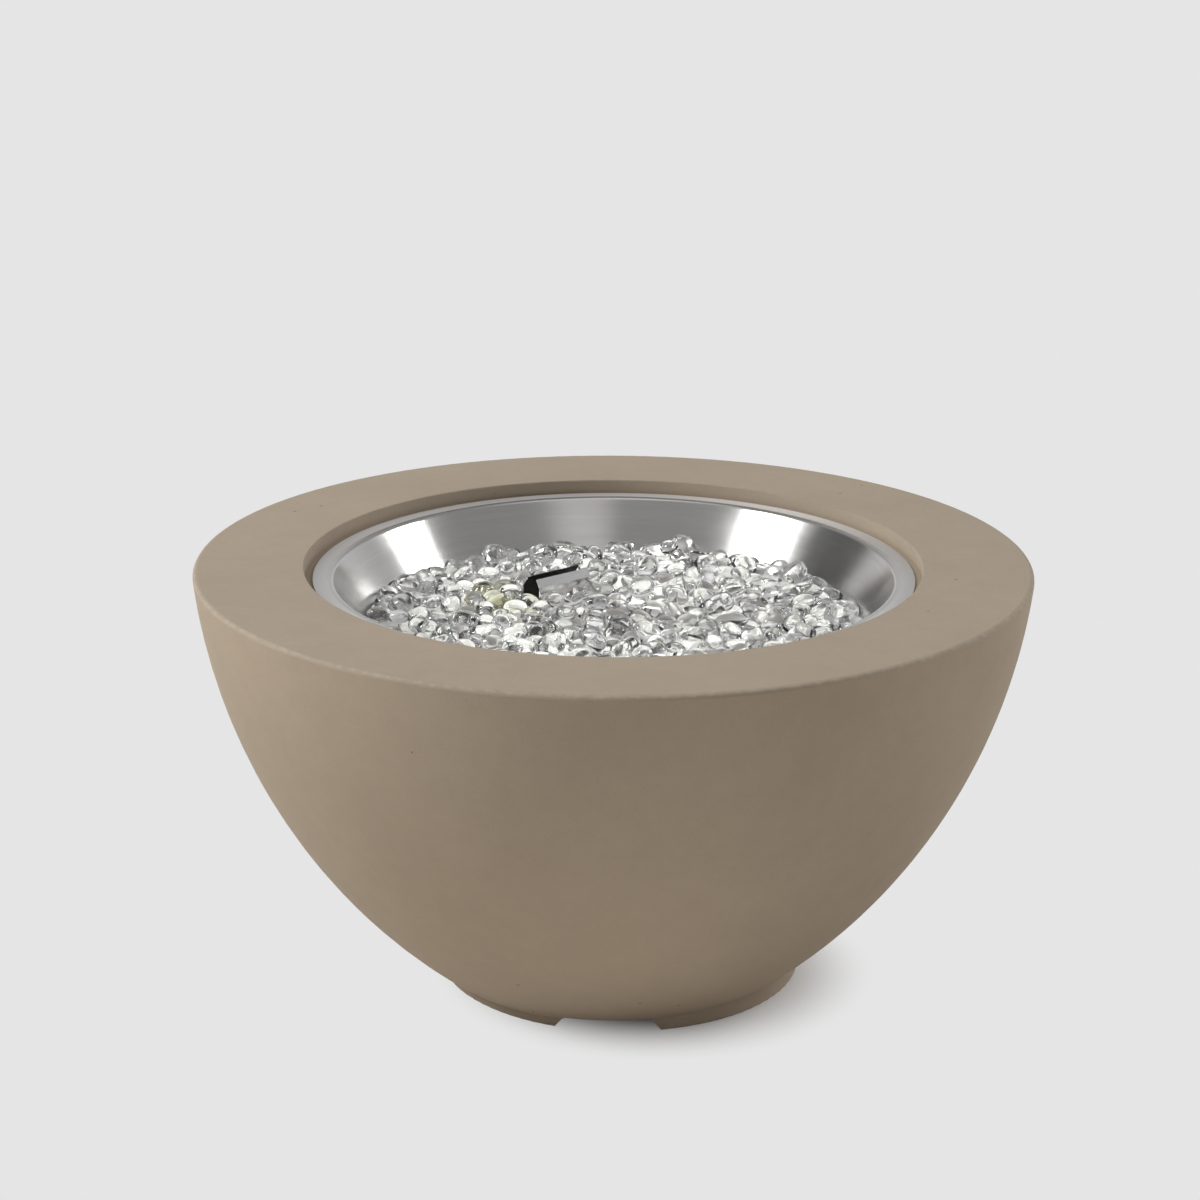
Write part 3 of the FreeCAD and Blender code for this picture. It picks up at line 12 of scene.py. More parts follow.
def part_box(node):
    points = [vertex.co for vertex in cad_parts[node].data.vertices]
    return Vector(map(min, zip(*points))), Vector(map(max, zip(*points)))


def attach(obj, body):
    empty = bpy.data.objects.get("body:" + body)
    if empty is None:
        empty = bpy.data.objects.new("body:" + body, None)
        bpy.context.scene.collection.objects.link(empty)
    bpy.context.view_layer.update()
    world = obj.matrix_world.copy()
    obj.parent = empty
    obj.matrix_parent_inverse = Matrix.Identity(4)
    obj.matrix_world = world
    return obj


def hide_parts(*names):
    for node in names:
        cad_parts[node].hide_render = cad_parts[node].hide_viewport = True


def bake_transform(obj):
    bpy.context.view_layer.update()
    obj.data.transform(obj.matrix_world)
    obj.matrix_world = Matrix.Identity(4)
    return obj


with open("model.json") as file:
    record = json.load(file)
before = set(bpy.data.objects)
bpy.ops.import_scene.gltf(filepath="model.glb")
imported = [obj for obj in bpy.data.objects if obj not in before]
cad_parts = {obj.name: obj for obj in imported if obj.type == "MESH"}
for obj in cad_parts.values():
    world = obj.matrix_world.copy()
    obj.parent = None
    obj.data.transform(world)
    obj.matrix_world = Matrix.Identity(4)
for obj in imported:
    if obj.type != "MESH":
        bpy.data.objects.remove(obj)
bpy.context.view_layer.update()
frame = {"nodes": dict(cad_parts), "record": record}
nodes = frame["nodes"]


# Camera. A long lens in front of the bowl, 17 degrees above the rim plane, as the ellipses of the rim
# and the opening give it. Offsets and distance are shares of the rim's radius.
rim_low, rim_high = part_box("bowl")
rim_radius = (rim_high.x - rim_low.x) / 2
rim_middle = Vector((0, 0, rim_high.z))
camera_pitch = math.radians(17.267)
ahead = Vector((0, math.cos(camera_pitch), -math.sin(camera_pitch)))
overhead = Vector((0, math.sin(camera_pitch), math.cos(camera_pitch)))
lens = bpy.data.cameras.new("camera")
lens.lens, lens.sensor_width, lens.clip_end = 91.76, 36, 100
camera = bpy.data.objects.new("camera", lens)
bpy.context.scene.collection.objects.link(camera)
camera.location = rim_middle + rim_radius * (
    Vector((-0.0316, 0, 0)) - 0.0966 * overhead - 7.324 * ahead)
level = Matrix((Vector((1, 0, 0)), overhead, -ahead)).transposed()
camera.rotation_euler = (level @ Matrix.Rotation(math.radians(0.25), 3, "Z")).to_euler()
bpy.context.scene.camera = camera
bpy.context.scene.view_settings.view_transform = "Standard"


def linear(code):
    """The linear colour of an sRGB hex code."""
    parts = [int(code[at:at + 2], 16) / 255 for at in (1, 3, 5)]
    return (*[part / 12.92 if part <= 0.04045 else ((part + 0.055) / 1.055) ** 2.4 for part in parts], 1)


def add(tree, kind, settings=None, **wires):
    """Adds a node. Settings are its properties; each wire names a socket (S3 is the fourth) and gives a
    value or another node's output."""
    made = tree.nodes.new("ShaderNode" + kind)
    for name, value in (settings or {}).items():
        setattr(made, name, value)
    for name, value in wires.items():
        socket = made.inputs[int(name[1:]) if name[0] == "S" and name[1:].isdigit()
                             else name.replace("_", " ")]
        if isinstance(value, bpy.types.NodeSocket):
            tree.links.new(value, socket)
        else:
            socket.default_value = value
    return made


# Studio. A tall soft box stands at the left and a weaker one at the right, a little to the rear, as their
# reflections in the pan show. The ceiling is grey and pale right overhead, with a dark card at the rear
# left and a pale one in front, and what lies level with the bowl is pale. Powers are set so that an
# upward surface shows its own colour.
def soft_box(name, bearing, height, distance, wide, high, share):
    """An area lamp aimed at the rim, at a bearing from +X and a height in degrees. share is the part of
    full light that it gives at the bowl. The fire glass shows it as glints on its skin alone."""
    lamp = bpy.data.lights.new(name, "AREA")
    lamp.shape, lamp.size, lamp.size_y = "RECTANGLE", wide, high
    lamp.energy = share * (math.pi * distance) ** 2
    stand = bpy.data.objects.new(name, lamp)
    bpy.context.scene.collection.objects.link(stand)
    away = Matrix.Rotation(math.radians(bearing), 3, "Z") @ Matrix.Rotation(
        math.radians(-height), 3, "Y") @ Vector((1, 0, 0))
    stand.location = rim_middle + away * distance
    stand.rotation_euler = away.to_track_quat("Z", "Y").to_euler()
    stand.visible_transmission = False


soft_box("soft_box_left", 184, 38, 6.0, 1.3, 2.8, 0.83)
soft_box("soft_box_right", 21, 26, 6.0, 1.3, 2.2, 0.35)


def seen_rays(tree):
    """1 for the rays that see a background: the camera's own, off gloss and through glass."""
    rays = add(tree, "LightPath").outputs
    direct = add(tree, "Math", {"operation": "MAXIMUM"}, S0=rays["Is Camera Ray"],
                 S1=rays["Is Glossy Ray"])
    return add(tree, "Math", {"operation": "MAXIMUM"}, S0=direct.outputs[0],
               S1=rays["Is Transmission Ray"]).outputs[0]


studio = bpy.data.worlds.new("studio")
bpy.context.scene.world = studio
studio.use_nodes = True
sky = studio.node_tree
sky.nodes.clear()
seen = seen_rays(sky)
facing = add(sky, "TexCoord").outputs["Generated"]
upward = add(sky, "SeparateXYZ", Vector=facing)
height = add(sky, "MapRange", {"interpolation_type": "SMOOTHSTEP"}, Value=upward.outputs["Z"],
             From_Min=0.10, From_Max=0.55)
walls = add(sky, "MixRGB", Fac=height.outputs[0], Color1=linear("#E5E5E5"), Color2=linear("#9E9E9E"))
zenith = add(sky, "MapRange", {"interpolation_type": "SMOOTHSTEP"}, Value=upward.outputs["Z"],
             From_Min=0.86, From_Max=0.98)
backdrop = add(sky, "MixRGB", Fac=zenith.outputs[0], Color1=walls.outputs[0], Color2=linear("#F2F2F2"))


def card(behind, toward, soft, full, colour):
    """Sets a round card in the studio, seen from the bowl in one direction, over what is behind it."""
    to_card = add(sky, "VectorMath", {"operation": "DOT_PRODUCT"}, S0=facing, S1=toward)
    shape = add(sky, "MapRange", {"interpolation_type": "SMOOTHSTEP"}, Value=to_card.outputs["Value"],
                From_Min=math.cos(math.radians(soft)), From_Max=math.cos(math.radians(full)))
    return add(sky, "MixRGB", Fac=shape.outputs[0], Color1=behind, Color2=linear(colour)).outputs[0]


with_dark = card(backdrop.outputs[0], (-0.82, 0.43, 0.38), 23, 12, "#626262")
with_pale = card(with_dark, (0.20, -0.58, 0.79), 15, 4, "#E4E4E4")
shown = add(sky, "MixRGB", Fac=seen, Color1=(0.32, 0.32, 0.32, 1), Color2=with_pale)
add(sky, "OutputWorld", Surface=add(sky, "Background", Color=shown.outputs[0]).outputs[0])


# Floor. A pale matt sweep. Near the foot it is lit and holds the shadow; further off the lamps fall
# short, so what the camera, metal and glass see there turns to the same plain grey. Light that it
# throws back at the bowl is a little warm, as from a sweep of unbleached paper.
sweep = bpy.data.meshes.new("floor")
reach = 40
sweep.from_pydata([(-reach, -reach, 0), (reach, -reach, 0), (reach, reach, 0), (-reach, reach, 0)], [],
                  [(0, 1, 2, 3)])
floor = bpy.data.objects.new("floor", sweep)
bpy.context.scene.collection.objects.link(floor)
paper = bpy.data.materials.new("matt_paper")
paper.use_nodes = True
tree = paper.node_tree
tree.nodes.clear()
seen = seen_rays(tree)
shadow_middle = (0.040, -0.020, 0)
from_foot = add(tree, "VectorMath", {"operation": "SUBTRACT"}, S0=add(tree, "TexCoord").outputs["Object"],
                S1=shadow_middle)
distance = add(tree, "VectorMath", {"operation": "LENGTH"}, S0=from_foot.outputs[0])
far = add(tree, "MapRange", {"interpolation_type": "SMOOTHSTEP"}, Value=distance.outputs["Value"],
          From_Min=0.105, From_Max=0.210)
plain = add(tree, "Math", {"operation": "MULTIPLY"}, S0=far.outputs[0], S1=seen)
tint = add(tree, "MixRGB", Fac=seen, Color1=linear("#F2EBE2"), Color2=linear("#E5E5E5"))
lit = add(tree, "BsdfDiffuse", Color=tint.outputs[0])
glow = add(tree, "Emission", Color=linear("#E5E5E5"))
mixed = add(tree, "MixShader", S0=plain.outputs[0], S1=lit.outputs[0], S2=glow.outputs[0])
add(tree, "OutputMaterial", Surface=mixed.outputs[0])
sweep.materials.append(paper)


# Bowl. One casting of fine-grained concrete, coloured through in warm taupe, rubbed smooth when it
# came out of the mould. It has faint clouds, a fine grain, and small holes where air sat at the mould.
def new_finish(name):
    """An empty material, its tree, and the object's own coordinates in metres."""
    made = bpy.data.materials.new(name)
    made.use_nodes = True
    made.node_tree.nodes.clear()
    return made, made.node_tree, add(made.node_tree, "TexCoord").outputs["Object"]


def coat(made, *names):
    """Gives CAD nodes this material."""
    for name in names:
        nodes[name].data.materials.clear()
        nodes[name].data.materials.append(made)


concrete, tree, place = new_finish("rubbed_taupe_concrete")
cloud = add(tree, "TexNoise", Vector=place, Scale=9.0, Detail=4.0, Roughness=0.55)
patch = add(tree, "TexNoise", Vector=place, Scale=55.0, Detail=3.0, Roughness=0.6)
# The sand's grain is about a millimetre across.
grain = add(tree, "TexNoise", Vector=place, Scale=900.0, Detail=2.0, Roughness=0.6)
cloudy = add(tree, "MixRGB", Fac=add(tree, "MapRange", Value=cloud.outputs["Fac"], From_Min=0.3,
                                     From_Max=0.7).outputs[0],
             Color1=linear("#A19382"), Color2=linear("#A69886"))
patchy = add(tree, "MixRGB", {"blend_type": "MULTIPLY"}, Fac=0.6, Color1=cloudy.outputs[0],
             Color2=add(tree, "MapRange", Value=patch.outputs["Fac"], From_Min=0.25, From_Max=0.75,
                        To_Min=0.95, To_Max=1.03).outputs[0])
grainy = add(tree, "MixRGB", {"blend_type": "MULTIPLY"}, Fac=0.7, Color1=patchy.outputs[0],
             Color2=add(tree, "MapRange", Value=grain.outputs["Fac"], From_Min=0.3, From_Max=0.7,
                        To_Min=0.93, To_Max=1.06).outputs[0])
# A painted highlight: the rim's outer edge is paler here and there, in a line 3 mm wide, where its round
# catches the light.
axes = add(tree, "SeparateXYZ", Vector=place)
from_axis = add(tree, "VectorMath", {"operation": "LENGTH"},
                S0=add(tree, "CombineXYZ", X=axes.outputs["X"], Y=axes.outputs["Y"]).outputs[0])
out_near = add(tree, "MapRange", Value=from_axis.outputs["Value"], From_Min=rim_radius - 0.0035,
               From_Max=rim_radius - 0.0015)
up_near = add(tree, "MapRange", Value=axes.outputs["Z"], From_Min=rim_high.z - 0.0035,
              From_Max=rim_high.z - 0.0015)
highlight_band = add(tree, "Math", {"operation": "MULTIPLY"}, S0=out_near.outputs[0], S1=up_near.outputs[0])
highlight_breaks = add(tree, "TexNoise", Vector=place, Scale=120.0, Detail=4.0, Roughness=0.65)
highlight_breaks = add(tree, "MapRange", Value=highlight_breaks.outputs["Fac"], From_Min=0.42, From_Max=0.66, To_Min=0.05,
           To_Max=0.50)
with_highlight = add(tree, "MixRGB", Fac=add(tree, "Math", {"operation": "MULTIPLY"}, S0=highlight_band.outputs[0],
                                    S1=highlight_breaks.outputs[0]).outputs[0],
            Color1=grainy.outputs[0], Color2=linear("#BDB2A4"))
# Air holes of 1 to 3 mm, one to a 12 mm cell, and most cells have none. They gather low on the wall
# and along the rim, and each is darkened with painted shade.
hole = add(tree, "TexVoronoi", Vector=place, Scale=85.0)
chance = add(tree, "SeparateColor", Color=hole.outputs["Color"])
where = add(tree, "TexNoise", Vector=place, Scale=14.0, Detail=1.0)
low_down = add(tree, "MapRange", {"interpolation_type": "SMOOTHSTEP"}, Value=axes.outputs["Z"],
               From_Min=0.125, From_Max=0.050, To_Min=0.0, To_Max=0.13)
at_rim = add(tree, "MapRange", Value=axes.outputs["Z"], From_Min=0.365, From_Max=0.385,
             To_Min=0.0, To_Max=0.07)
gathered = add(tree, "Math", S0=low_down.outputs[0], S1=at_rim.outputs[0])
allowed = add(tree, "Math", {"operation": "MULTIPLY_ADD"}, S0=where.outputs["Fac"], S1=0.34, S2=-0.150)
allowed = add(tree, "Math", S0=allowed.outputs[0], S1=gathered.outputs[0])
share = add(tree, "Math", {"operation": "SUBTRACT"}, S0=allowed.outputs[0], S1=chance.outputs["Red"])
wide = add(tree, "MapRange", Value=share.outputs[0], From_Min=0.0, From_Max=0.10, To_Min=0.0,
           To_Max=0.13)
inside = add(tree, "Math", {"operation": "LESS_THAN"}, S0=hole.outputs["Distance"], S1=wide.outputs[0])
holes_shaded = add(tree, "MixRGB", Fac=add(tree, "Math", {"operation": "MULTIPLY"}, S0=inside.outputs[0],
                                    S1=0.60).outputs[0],
            Color1=with_highlight.outputs[0], Color2=linear("#4A4034"))
relief = add(tree, "Math", {"operation": "MULTIPLY_ADD"}, S0=inside.outputs[0], S1=-1.0,
             S2=add(tree, "Math", {"operation": "MULTIPLY"}, S0=grain.outputs["Fac"], S1=0.14).outputs[0])
relief = add(tree, "Math", {"operation": "MULTIPLY_ADD"}, S0=patch.outputs["Fac"], S1=0.4,
             S2=relief.outputs[0])
dents = add(tree, "Bump", Strength=0.6, Distance=0.0008, Height=relief.outputs[0])
surface = add(tree, "BsdfPrincipled", Base_Color=holes_shaded.outputs[0], Roughness=0.82, IOR=1.5,
              Specular_IOR_Level=0.35, Normal=dents.outputs[0])
add(tree, "OutputMaterial", Surface=surface.outputs[0])
coat(concrete, "bowl")


# Burner pan. Spun from 1.2 mm stainless sheet, so fine lines run round it and stretch every
# reflection across them. Its flange rests on the bowl's ledge and lifts out with the burner.
spun, tree, place = new_finish("spun_stainless")
pan_low, pan_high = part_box("burner_pan")
pan_middle = (pan_low + pan_high) / 2
pan_bend = (pan_high.x - pan_low.x) / 2 - 0.015
axes = add(tree, "SeparateXYZ", Vector=add(tree, "VectorMath", {"operation": "SUBTRACT"}, S0=place,
                                           S1=(pan_middle.x, pan_middle.y, 0)).outputs[0])
flat = add(tree, "CombineXYZ", X=axes.outputs["X"], Y=axes.outputs["Y"])
radius = add(tree, "VectorMath", {"operation": "LENGTH"}, S0=flat.outputs[0])
turn = add(tree, "VectorMath", {"operation": "NORMALIZE"}, S0=flat.outputs[0])
along = add(tree, "Math", {"operation": "SUBTRACT"}, S0=radius.outputs["Value"], S1=axes.outputs["Z"])
# The tool's feed was a fraction of a millimetre; lines of about 1 mm are the finest that show.
lines = add(tree, "VectorMath", {"operation": "MULTIPLY_ADD"}, S0=turn.outputs[0], S1=(1.5, 1.5, 0),
            S2=add(tree, "CombineXYZ", Z=add(tree, "Math", {"operation": "MULTIPLY"},
                                            S0=along.outputs[0], S1=900.0).outputs[0]).outputs[0])
hair = add(tree, "TexNoise", Vector=lines.outputs[0], Scale=1.0, Detail=3.0, Roughness=0.7)
smear = add(tree, "TexNoise", Vector=place, Scale=14.0, Detail=3.0)
tone = add(tree, "MixRGB", Fac=hair.outputs["Fac"], Color1=linear("#BDBCBA"), Color2=linear("#CFCECC"))
gloss = add(tree, "MapRange", Value=smear.outputs["Fac"], From_Min=0.3, From_Max=0.7, To_Min=0.18,
            To_Max=0.25)
# The flange outside the bend is blasted, paler and duller than the cone that the roller polished.
on_flange = add(tree, "MapRange", Value=radius.outputs["Value"], From_Min=pan_bend,
                From_Max=pan_bend + 0.003)
dulled = add(tree, "MixRGB", Fac=on_flange.outputs[0], Color1=gloss.outputs[0], Color2=(0.5, 0.5, 0.5, 1))
paler = add(tree, "MixRGB", Fac=on_flange.outputs[0], Color1=tone.outputs[0], Color2=linear("#E6E5E4"))
surface = add(tree, "BsdfPrincipled", Base_Color=paler.outputs[0], Metallic=1.0,
              Roughness=dulled.outputs[0], Anisotropic=0.6, Anisotropic_Rotation=0.25,
              Tangent=add(tree, "Tangent", {"direction_type": "RADIAL", "axis": "Z"}).outputs[0])
add(tree, "OutputMaterial", Surface=surface.outputs[0])
coat(spun, "burner_pan")


# Ring burner. Two rings and a crossbar of stainless tube, welded to a hub and drilled along their
# tops. Heat has dulled the tube.
heated, tree, place = new_finish("heated_stainless_tube")
scale_marks = add(tree, "TexNoise", Vector=place, Scale=60.0, Detail=4.0)
tone = add(tree, "MixRGB", Fac=scale_marks.outputs["Fac"], Color1=linear("#A09D98"),
           Color2=linear("#BDBBB7"))
surface = add(tree, "BsdfPrincipled", Base_Color=tone.outputs[0], Metallic=1.0,
              Roughness=add(tree, "MapRange", Value=scale_marks.outputs["Fac"], To_Min=0.32,
                            To_Max=0.52).outputs[0])
add(tree, "OutputMaterial", Surface=surface.outputs[0])
coat(heated, "ring_burner")


# Fire glass. Clear tumbled pieces of 14 to 30 mm that fill the pan, poured in after the burner. The top
# ones are whole pieces of glass, each rounded a little differently; under them lies the rest of the
# fill, seen only through them as pale lumps, with painted shade between them and painted glints. None
# lies against the front of the pilot's hood.
glass_low, glass_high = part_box("fire_glass")
glass_top = glass_high.z
pan_floor = glass_low.z
glass_radius = (glass_high.x - glass_low.x) / 2
cone_slope = math.tan(math.radians(35))
bed_depth = 0.021
bed_top = glass_top - bed_depth
hood_low, hood_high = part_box("pilot_hood")
hood_middle = (hood_low + hood_high) / 2
hood_turn = math.radians(40)
hood_half = np.array((0.0315, 0.0140))
open_front, front_level = 0.020, glass_top - 0.001
wall_clearance, floor_clearance = 0.0005, 0.0005
ring_radii, ring_level, tube_radius = (0.145, 0.066), pan_floor + 0.017, 0.0095
piece_count = 880
draw = random.Random(11)

radii, spots = [], []
for _ in range(piece_count):
    pick = draw.random()
    radii.append(draw.uniform(0.0070, 0.0084) if pick < 0.22 else
                 draw.uniform(0.0089, 0.0103) if pick < 0.86 else draw.uniform(0.0105, 0.0122))
    reach = (glass_radius - 0.006) * math.sqrt(draw.random())
    bearing = draw.uniform(0, 2 * math.pi)
    spots.append((reach * math.cos(bearing), reach * math.sin(bearing), draw.uniform(bed_top, glass_top)))
radii, spots = np.array(radii), np.array(spots)
hood_place = np.array((hood_middle.x - pan_middle.x, hood_middle.y - pan_middle.y))
turn_in = np.array(((math.cos(hood_turn), math.sin(hood_turn)),
                    (-math.sin(hood_turn), math.cos(hood_turn))))


def settle(spots, radii, rounds):
    """Presses balls apart and down until they lie in the pan, clear of the burner and the hood."""
    contact = (radii[:, None] + radii[None, :]) * 0.98
    fast, slow, share_pushed = 0.0006, 0.0002, 0.42
    for step in range(rounds):
        spots[:, 2] -= fast if step < rounds * 0.7 else slow
        apart = spots[:, None, :] - spots[None, :, :]
        gap = np.sqrt((apart ** 2).sum(2)) + np.eye(len(radii))
        push = np.clip(contact - gap, 0, None)
        np.fill_diagonal(push, 0)
        spots += (apart / gap[:, :, None] * push[:, :, None]).sum(1) * share_pushed
        spots[:, 2] = np.maximum(spots[:, 2], bed_top + radii * 0.35)
        reach = np.hypot(spots[:, 0], spots[:, 1])
        limit = glass_radius - (glass_top - spots[:, 2]) * cone_slope - radii * 1.1
        spots[:, :2] *= np.minimum(1, limit / np.maximum(reach, 1e-6))[:, None]
        for ring in ring_radii:
            reach = np.maximum(np.hypot(spots[:, 0], spots[:, 1]), 1e-6)
            out, up = reach - ring, spots[:, 2] - ring_level
            clear = np.hypot(out, up) + 1e-9
            short = np.clip(tube_radius + radii * 0.8 - clear, 0, None)
            spots[:, :2] *= ((reach + short * out / clear) / reach)[:, None]
            spots[:, 2] += short * np.abs(up) / clear
        local = (spots[:, :2] - hood_place) @ turn_in.T
        before = (np.abs(local[:, 0]) < hood_half[0] + radii) & (local[:, 1] < 0) & (
            local[:, 1] > -hood_half[1] - open_front)
        spots[before, 2] = np.minimum(spots[before, 2], front_level - radii[before] * 0.75)
        keep = hood_half + radii[:, None] * 0.8
        within = (np.abs(local) < keep).all(1)
        escape = keep - np.abs(local)
        side = escape.argmin(1)
        for axis in (0, 1):
            moved = within & (side == axis)
            local[moved, axis] += np.sign(local[moved, axis] + 1e-9) * escape[moved, axis]
        spots[:, :2] = local @ turn_in + hood_place
    return spots


spots = settle(spots, radii, 90)

block = bmesh.new()
bmesh.ops.create_cube(block, size=2)
bmesh.ops.subdivide_edges(block, edges=block.edges[:], cuts=7, use_grid_fill=True)
block.verts.ensure_lookup_table()
ball = np.array([vert.co.normalized() for vert in block.verts])
quads = np.array([[vert.index for vert in face.verts] for face in block.faces])
block.free()

shape_count = 36
shapes = []
for _ in range(shape_count):
    power = draw.uniform(2.0, 2.4)
    body = ball / (np.abs(ball) ** power).sum(1)[:, None] ** (1 / power)
    shift = Vector((draw.uniform(0, 50), draw.uniform(0, 50), draw.uniform(0, 50)))
    lumps = np.array([noise.noise(Vector(point) + shift) for point in ball])
    body = body * (1 + 0.08 * lumps)[:, None]
    body[:, 1] *= 1 + 0.10 * draw.uniform(-1, 1) * body[:, 0]
    shapes.append(body / np.abs(body).max(0).mean())

# A few pieces left of the hood are olive, from a bottle that got into the batch.
olive_places = np.array(((-0.102, 0.093), (-0.110, 0.039), (-0.118, 0.062)))
world = spots[:, :2] + np.array((pan_middle.x, pan_middle.y))
high = spots[:, 2] > np.median(spots[:, 2])
olive = {int(np.argmin(np.hypot(*(world - spot).T) + np.where(high, 0, 1))) for spot in olive_places}

groups = 8
order = np.argsort(np.arctan2(spots[:, 1], spots[:, 0]))
heaps = []
for group, members in enumerate(np.array_split(order, groups)):
    points, faces, finish = [], [], []
    for at in members:
        long = draw.choice((1.02, 1.08, 1.15, 1.22, 1.35))
        stretch = np.array((long, draw.uniform(0.94, 1.05), draw.uniform(0.70, 0.86))) * radii[at]
        tilt = Matrix.Rotation(draw.uniform(0, 2 * math.pi), 3, "Z") @ Matrix.Rotation(
            draw.gauss(0, 0.30), 3, "X") @ Matrix.Rotation(draw.gauss(0, 0.30), 3, "Y")
        body = (draw.choice(shapes) * stretch) @ np.array(tilt).T + spots[at]
        # A piece that reaches the cone lies against it.
        wall = glass_radius - (glass_top - body[:, 2]) * cone_slope - wall_clearance
        body[:, :2] *= np.minimum(1, wall / np.hypot(body[:, 0], body[:, 1]))[:, None]
        faces.append(quads + len(ball) * len(points))
        points.append(body + np.array((pan_middle.x, pan_middle.y, 0)))
        finish += [int(at in olive)] * len(quads)
    mesh = bpy.data.meshes.new(f"fire_glass_{group + 1}")
    mesh.from_pydata(np.concatenate(points).tolist(), [], np.concatenate(faces).tolist())
    mesh.polygons.foreach_set("use_smooth", [True] * len(mesh.polygons))
    mesh.polygons.foreach_set("material_index", finish)
    piece = bpy.data.objects.new(mesh.name, mesh)
    bpy.context.scene.collection.objects.link(piece)
    heaps.append(piece)


def tumbled_glass(name, colour):
    """Glass with a fire-polished skin. Lamps shine through a piece instead of round it, as they do once
    its own bright spots are added up."""
    made, tree, place = new_finish(name)
    swirl = add(tree, "TexNoise", Vector=place, Scale=150.0, Detail=1.0)
    dimple = add(tree, "Bump", Strength=0.05, Distance=0.002, Height=swirl.outputs["Fac"])
    glass = add(tree, "BsdfPrincipled", Base_Color=linear(colour), Transmission_Weight=1.0,
                Roughness=0.02, IOR=1.46, Normal=dimple.outputs[0])
    through = add(tree, "BsdfTransparent", Color=linear(colour))
    lets_light = add(tree, "MixShader", S0=add(tree, "LightPath").outputs["Is Shadow Ray"],
                     S1=glass.outputs[0], S2=through.outputs[0])
    add(tree, "OutputMaterial", Surface=lets_light.outputs[0])
    return made


clear_glass = tumbled_glass("clear_tumbled_glass", "#FEFEFE")
olive_glass = tumbled_glass("olive_tumbled_glass", "#F0EFD8")
for piece in heaps:
    piece.data.materials.append(clear_glass)
    piece.data.materials.append(olive_glass)
    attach(piece, "burner_pan")
    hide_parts("fire_glass")

rows, columns = 96, 300
bed_radius = glass_radius - (glass_top - bed_top) * cone_slope - 0.0015
top_count, top_radius, top_height, top_sunk = 900, 0.009, 0.005, 0.003
tops = [Vector((draw.uniform(-bed_radius, bed_radius), draw.uniform(-bed_radius, bed_radius), 0))
        for _ in range(top_count)]
nearest = KDTree(len(tops))
for at, top in enumerate(tops):
    nearest.insert(top, at)
nearest.balance()
points = [(pan_middle.x, pan_middle.y, bed_top)]
for row in range(1, rows + 1):
    for column in range(columns):
        bearing = 2 * math.pi * column / columns
        spot = Vector((math.cos(bearing), math.sin(bearing), 0)) * bed_radius * row / rows
        away = nearest.find(spot)[2] / top_radius
        rise = top_height * math.sqrt(max(0, 1 - away ** 2)) - top_sunk
        points.append((pan_middle.x + spot.x, pan_middle.y + spot.y, bed_top + rise))
faces = [(0, 1 + column, 1 + (column + 1) % columns) for column in range(columns)]
for row in range(rows - 1):
    for column in range(columns):
        a, b = 1 + row * columns, 1 + (row + 1) * columns
        beside = (column + 1) % columns
        faces.append((a + column, b + column, b + beside, a + beside))
rim = len(points) - columns
under = len(points)
foot_share = 0.9
points += [(pan_middle.x + (point[0] - pan_middle.x) * foot_share,
            pan_middle.y + (point[1] - pan_middle.y) * foot_share,
            pan_floor + floor_clearance) for point in points[rim:]]
faces += [(rim + column, under + column, under + (column + 1) % columns, rim + (column + 1) % columns)
          for column in range(columns)]
faces.append(tuple(range(under + columns - 1, under - 1, -1)))
mesh = bpy.data.meshes.new("fire_glass_below")
mesh.from_pydata(points, [], faces)
mesh.polygons.foreach_set("use_smooth", [True] * len(mesh.polygons))
bed = bpy.data.objects.new("fire_glass_below", mesh)
bpy.context.scene.collection.objects.link(bed)
deep_glass, tree, place = new_finish("glass_seen_through_glass")
# Painted shade and glints: each cell is pale in its middle and darker at its edge, as shade between
# lumps, and small spots are painted bright, as light that the glass above focuses.
cells = add(tree, "TexVoronoi", {"feature": "F1"}, Vector=place, Scale=75.0)
glint = add(tree, "TexNoise", Vector=place, Scale=210.0, Detail=2.0, Distortion=1.5)
shade = add(tree, "MixRGB", Fac=add(tree, "MapRange", Value=cells.outputs["Distance"], From_Min=0.2,
                                    From_Max=0.75).outputs[0],
            Color1=linear("#E6E7E0"), Color2=linear("#BEC0B8"))
with_painted_glints = add(tree, "MixRGB", Fac=add(tree, "MapRange", Value=glint.outputs["Fac"], From_Min=0.45,
                                      From_Max=0.7).outputs[0],
              Color1=shade.outputs[0], Color2=linear("#F6F7F3"))
surface = add(tree, "BsdfPrincipled", Base_Color=with_painted_glints.outputs[0], Roughness=0.12, IOR=1.5)
add(tree, "OutputMaterial", Surface=surface.outputs[0])
mesh.materials.append(deep_glass)
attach(bed, "burner_pan")
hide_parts("fire_glass")


# Pilot hood. Folded from 1 mm stainless sheet, with an open slot along its top. Outside, the sheet
# keeps its mill finish, a soft grey with faint lines along the fold; inside, it is painted near black,
# matt and not metal, as painted shade in the slot.
mill, tree, place = new_finish("mill_finish_stainless")
streak = add(tree, "Mapping", {"vector_type": "TEXTURE"}, Vector=place, Rotation=(0, 0, hood_turn),
             Scale=(8.0, 0.4, 0.4))
grain = add(tree, "TexNoise", Vector=streak.outputs[0], Scale=500.0, Detail=3.0)
tone = add(tree, "MixRGB", Fac=grain.outputs["Fac"], Color1=linear("#DAD9DA"), Color2=linear("#E8E7E7"))
from_core = add(tree, "VectorMath", {"operation": "SUBTRACT"}, S0=place,
                S1=(hood_middle.x, hood_middle.y, hood_high.z - 0.018))
facing_out = add(tree, "VectorMath", {"operation": "DOT_PRODUCT"}, S0=from_core.outputs[0],
                 S1=add(tree, "TexCoord").outputs["Normal"])
inside = add(tree, "Math", {"operation": "LESS_THAN"}, S0=facing_out.outputs["Value"], S1=0.0)
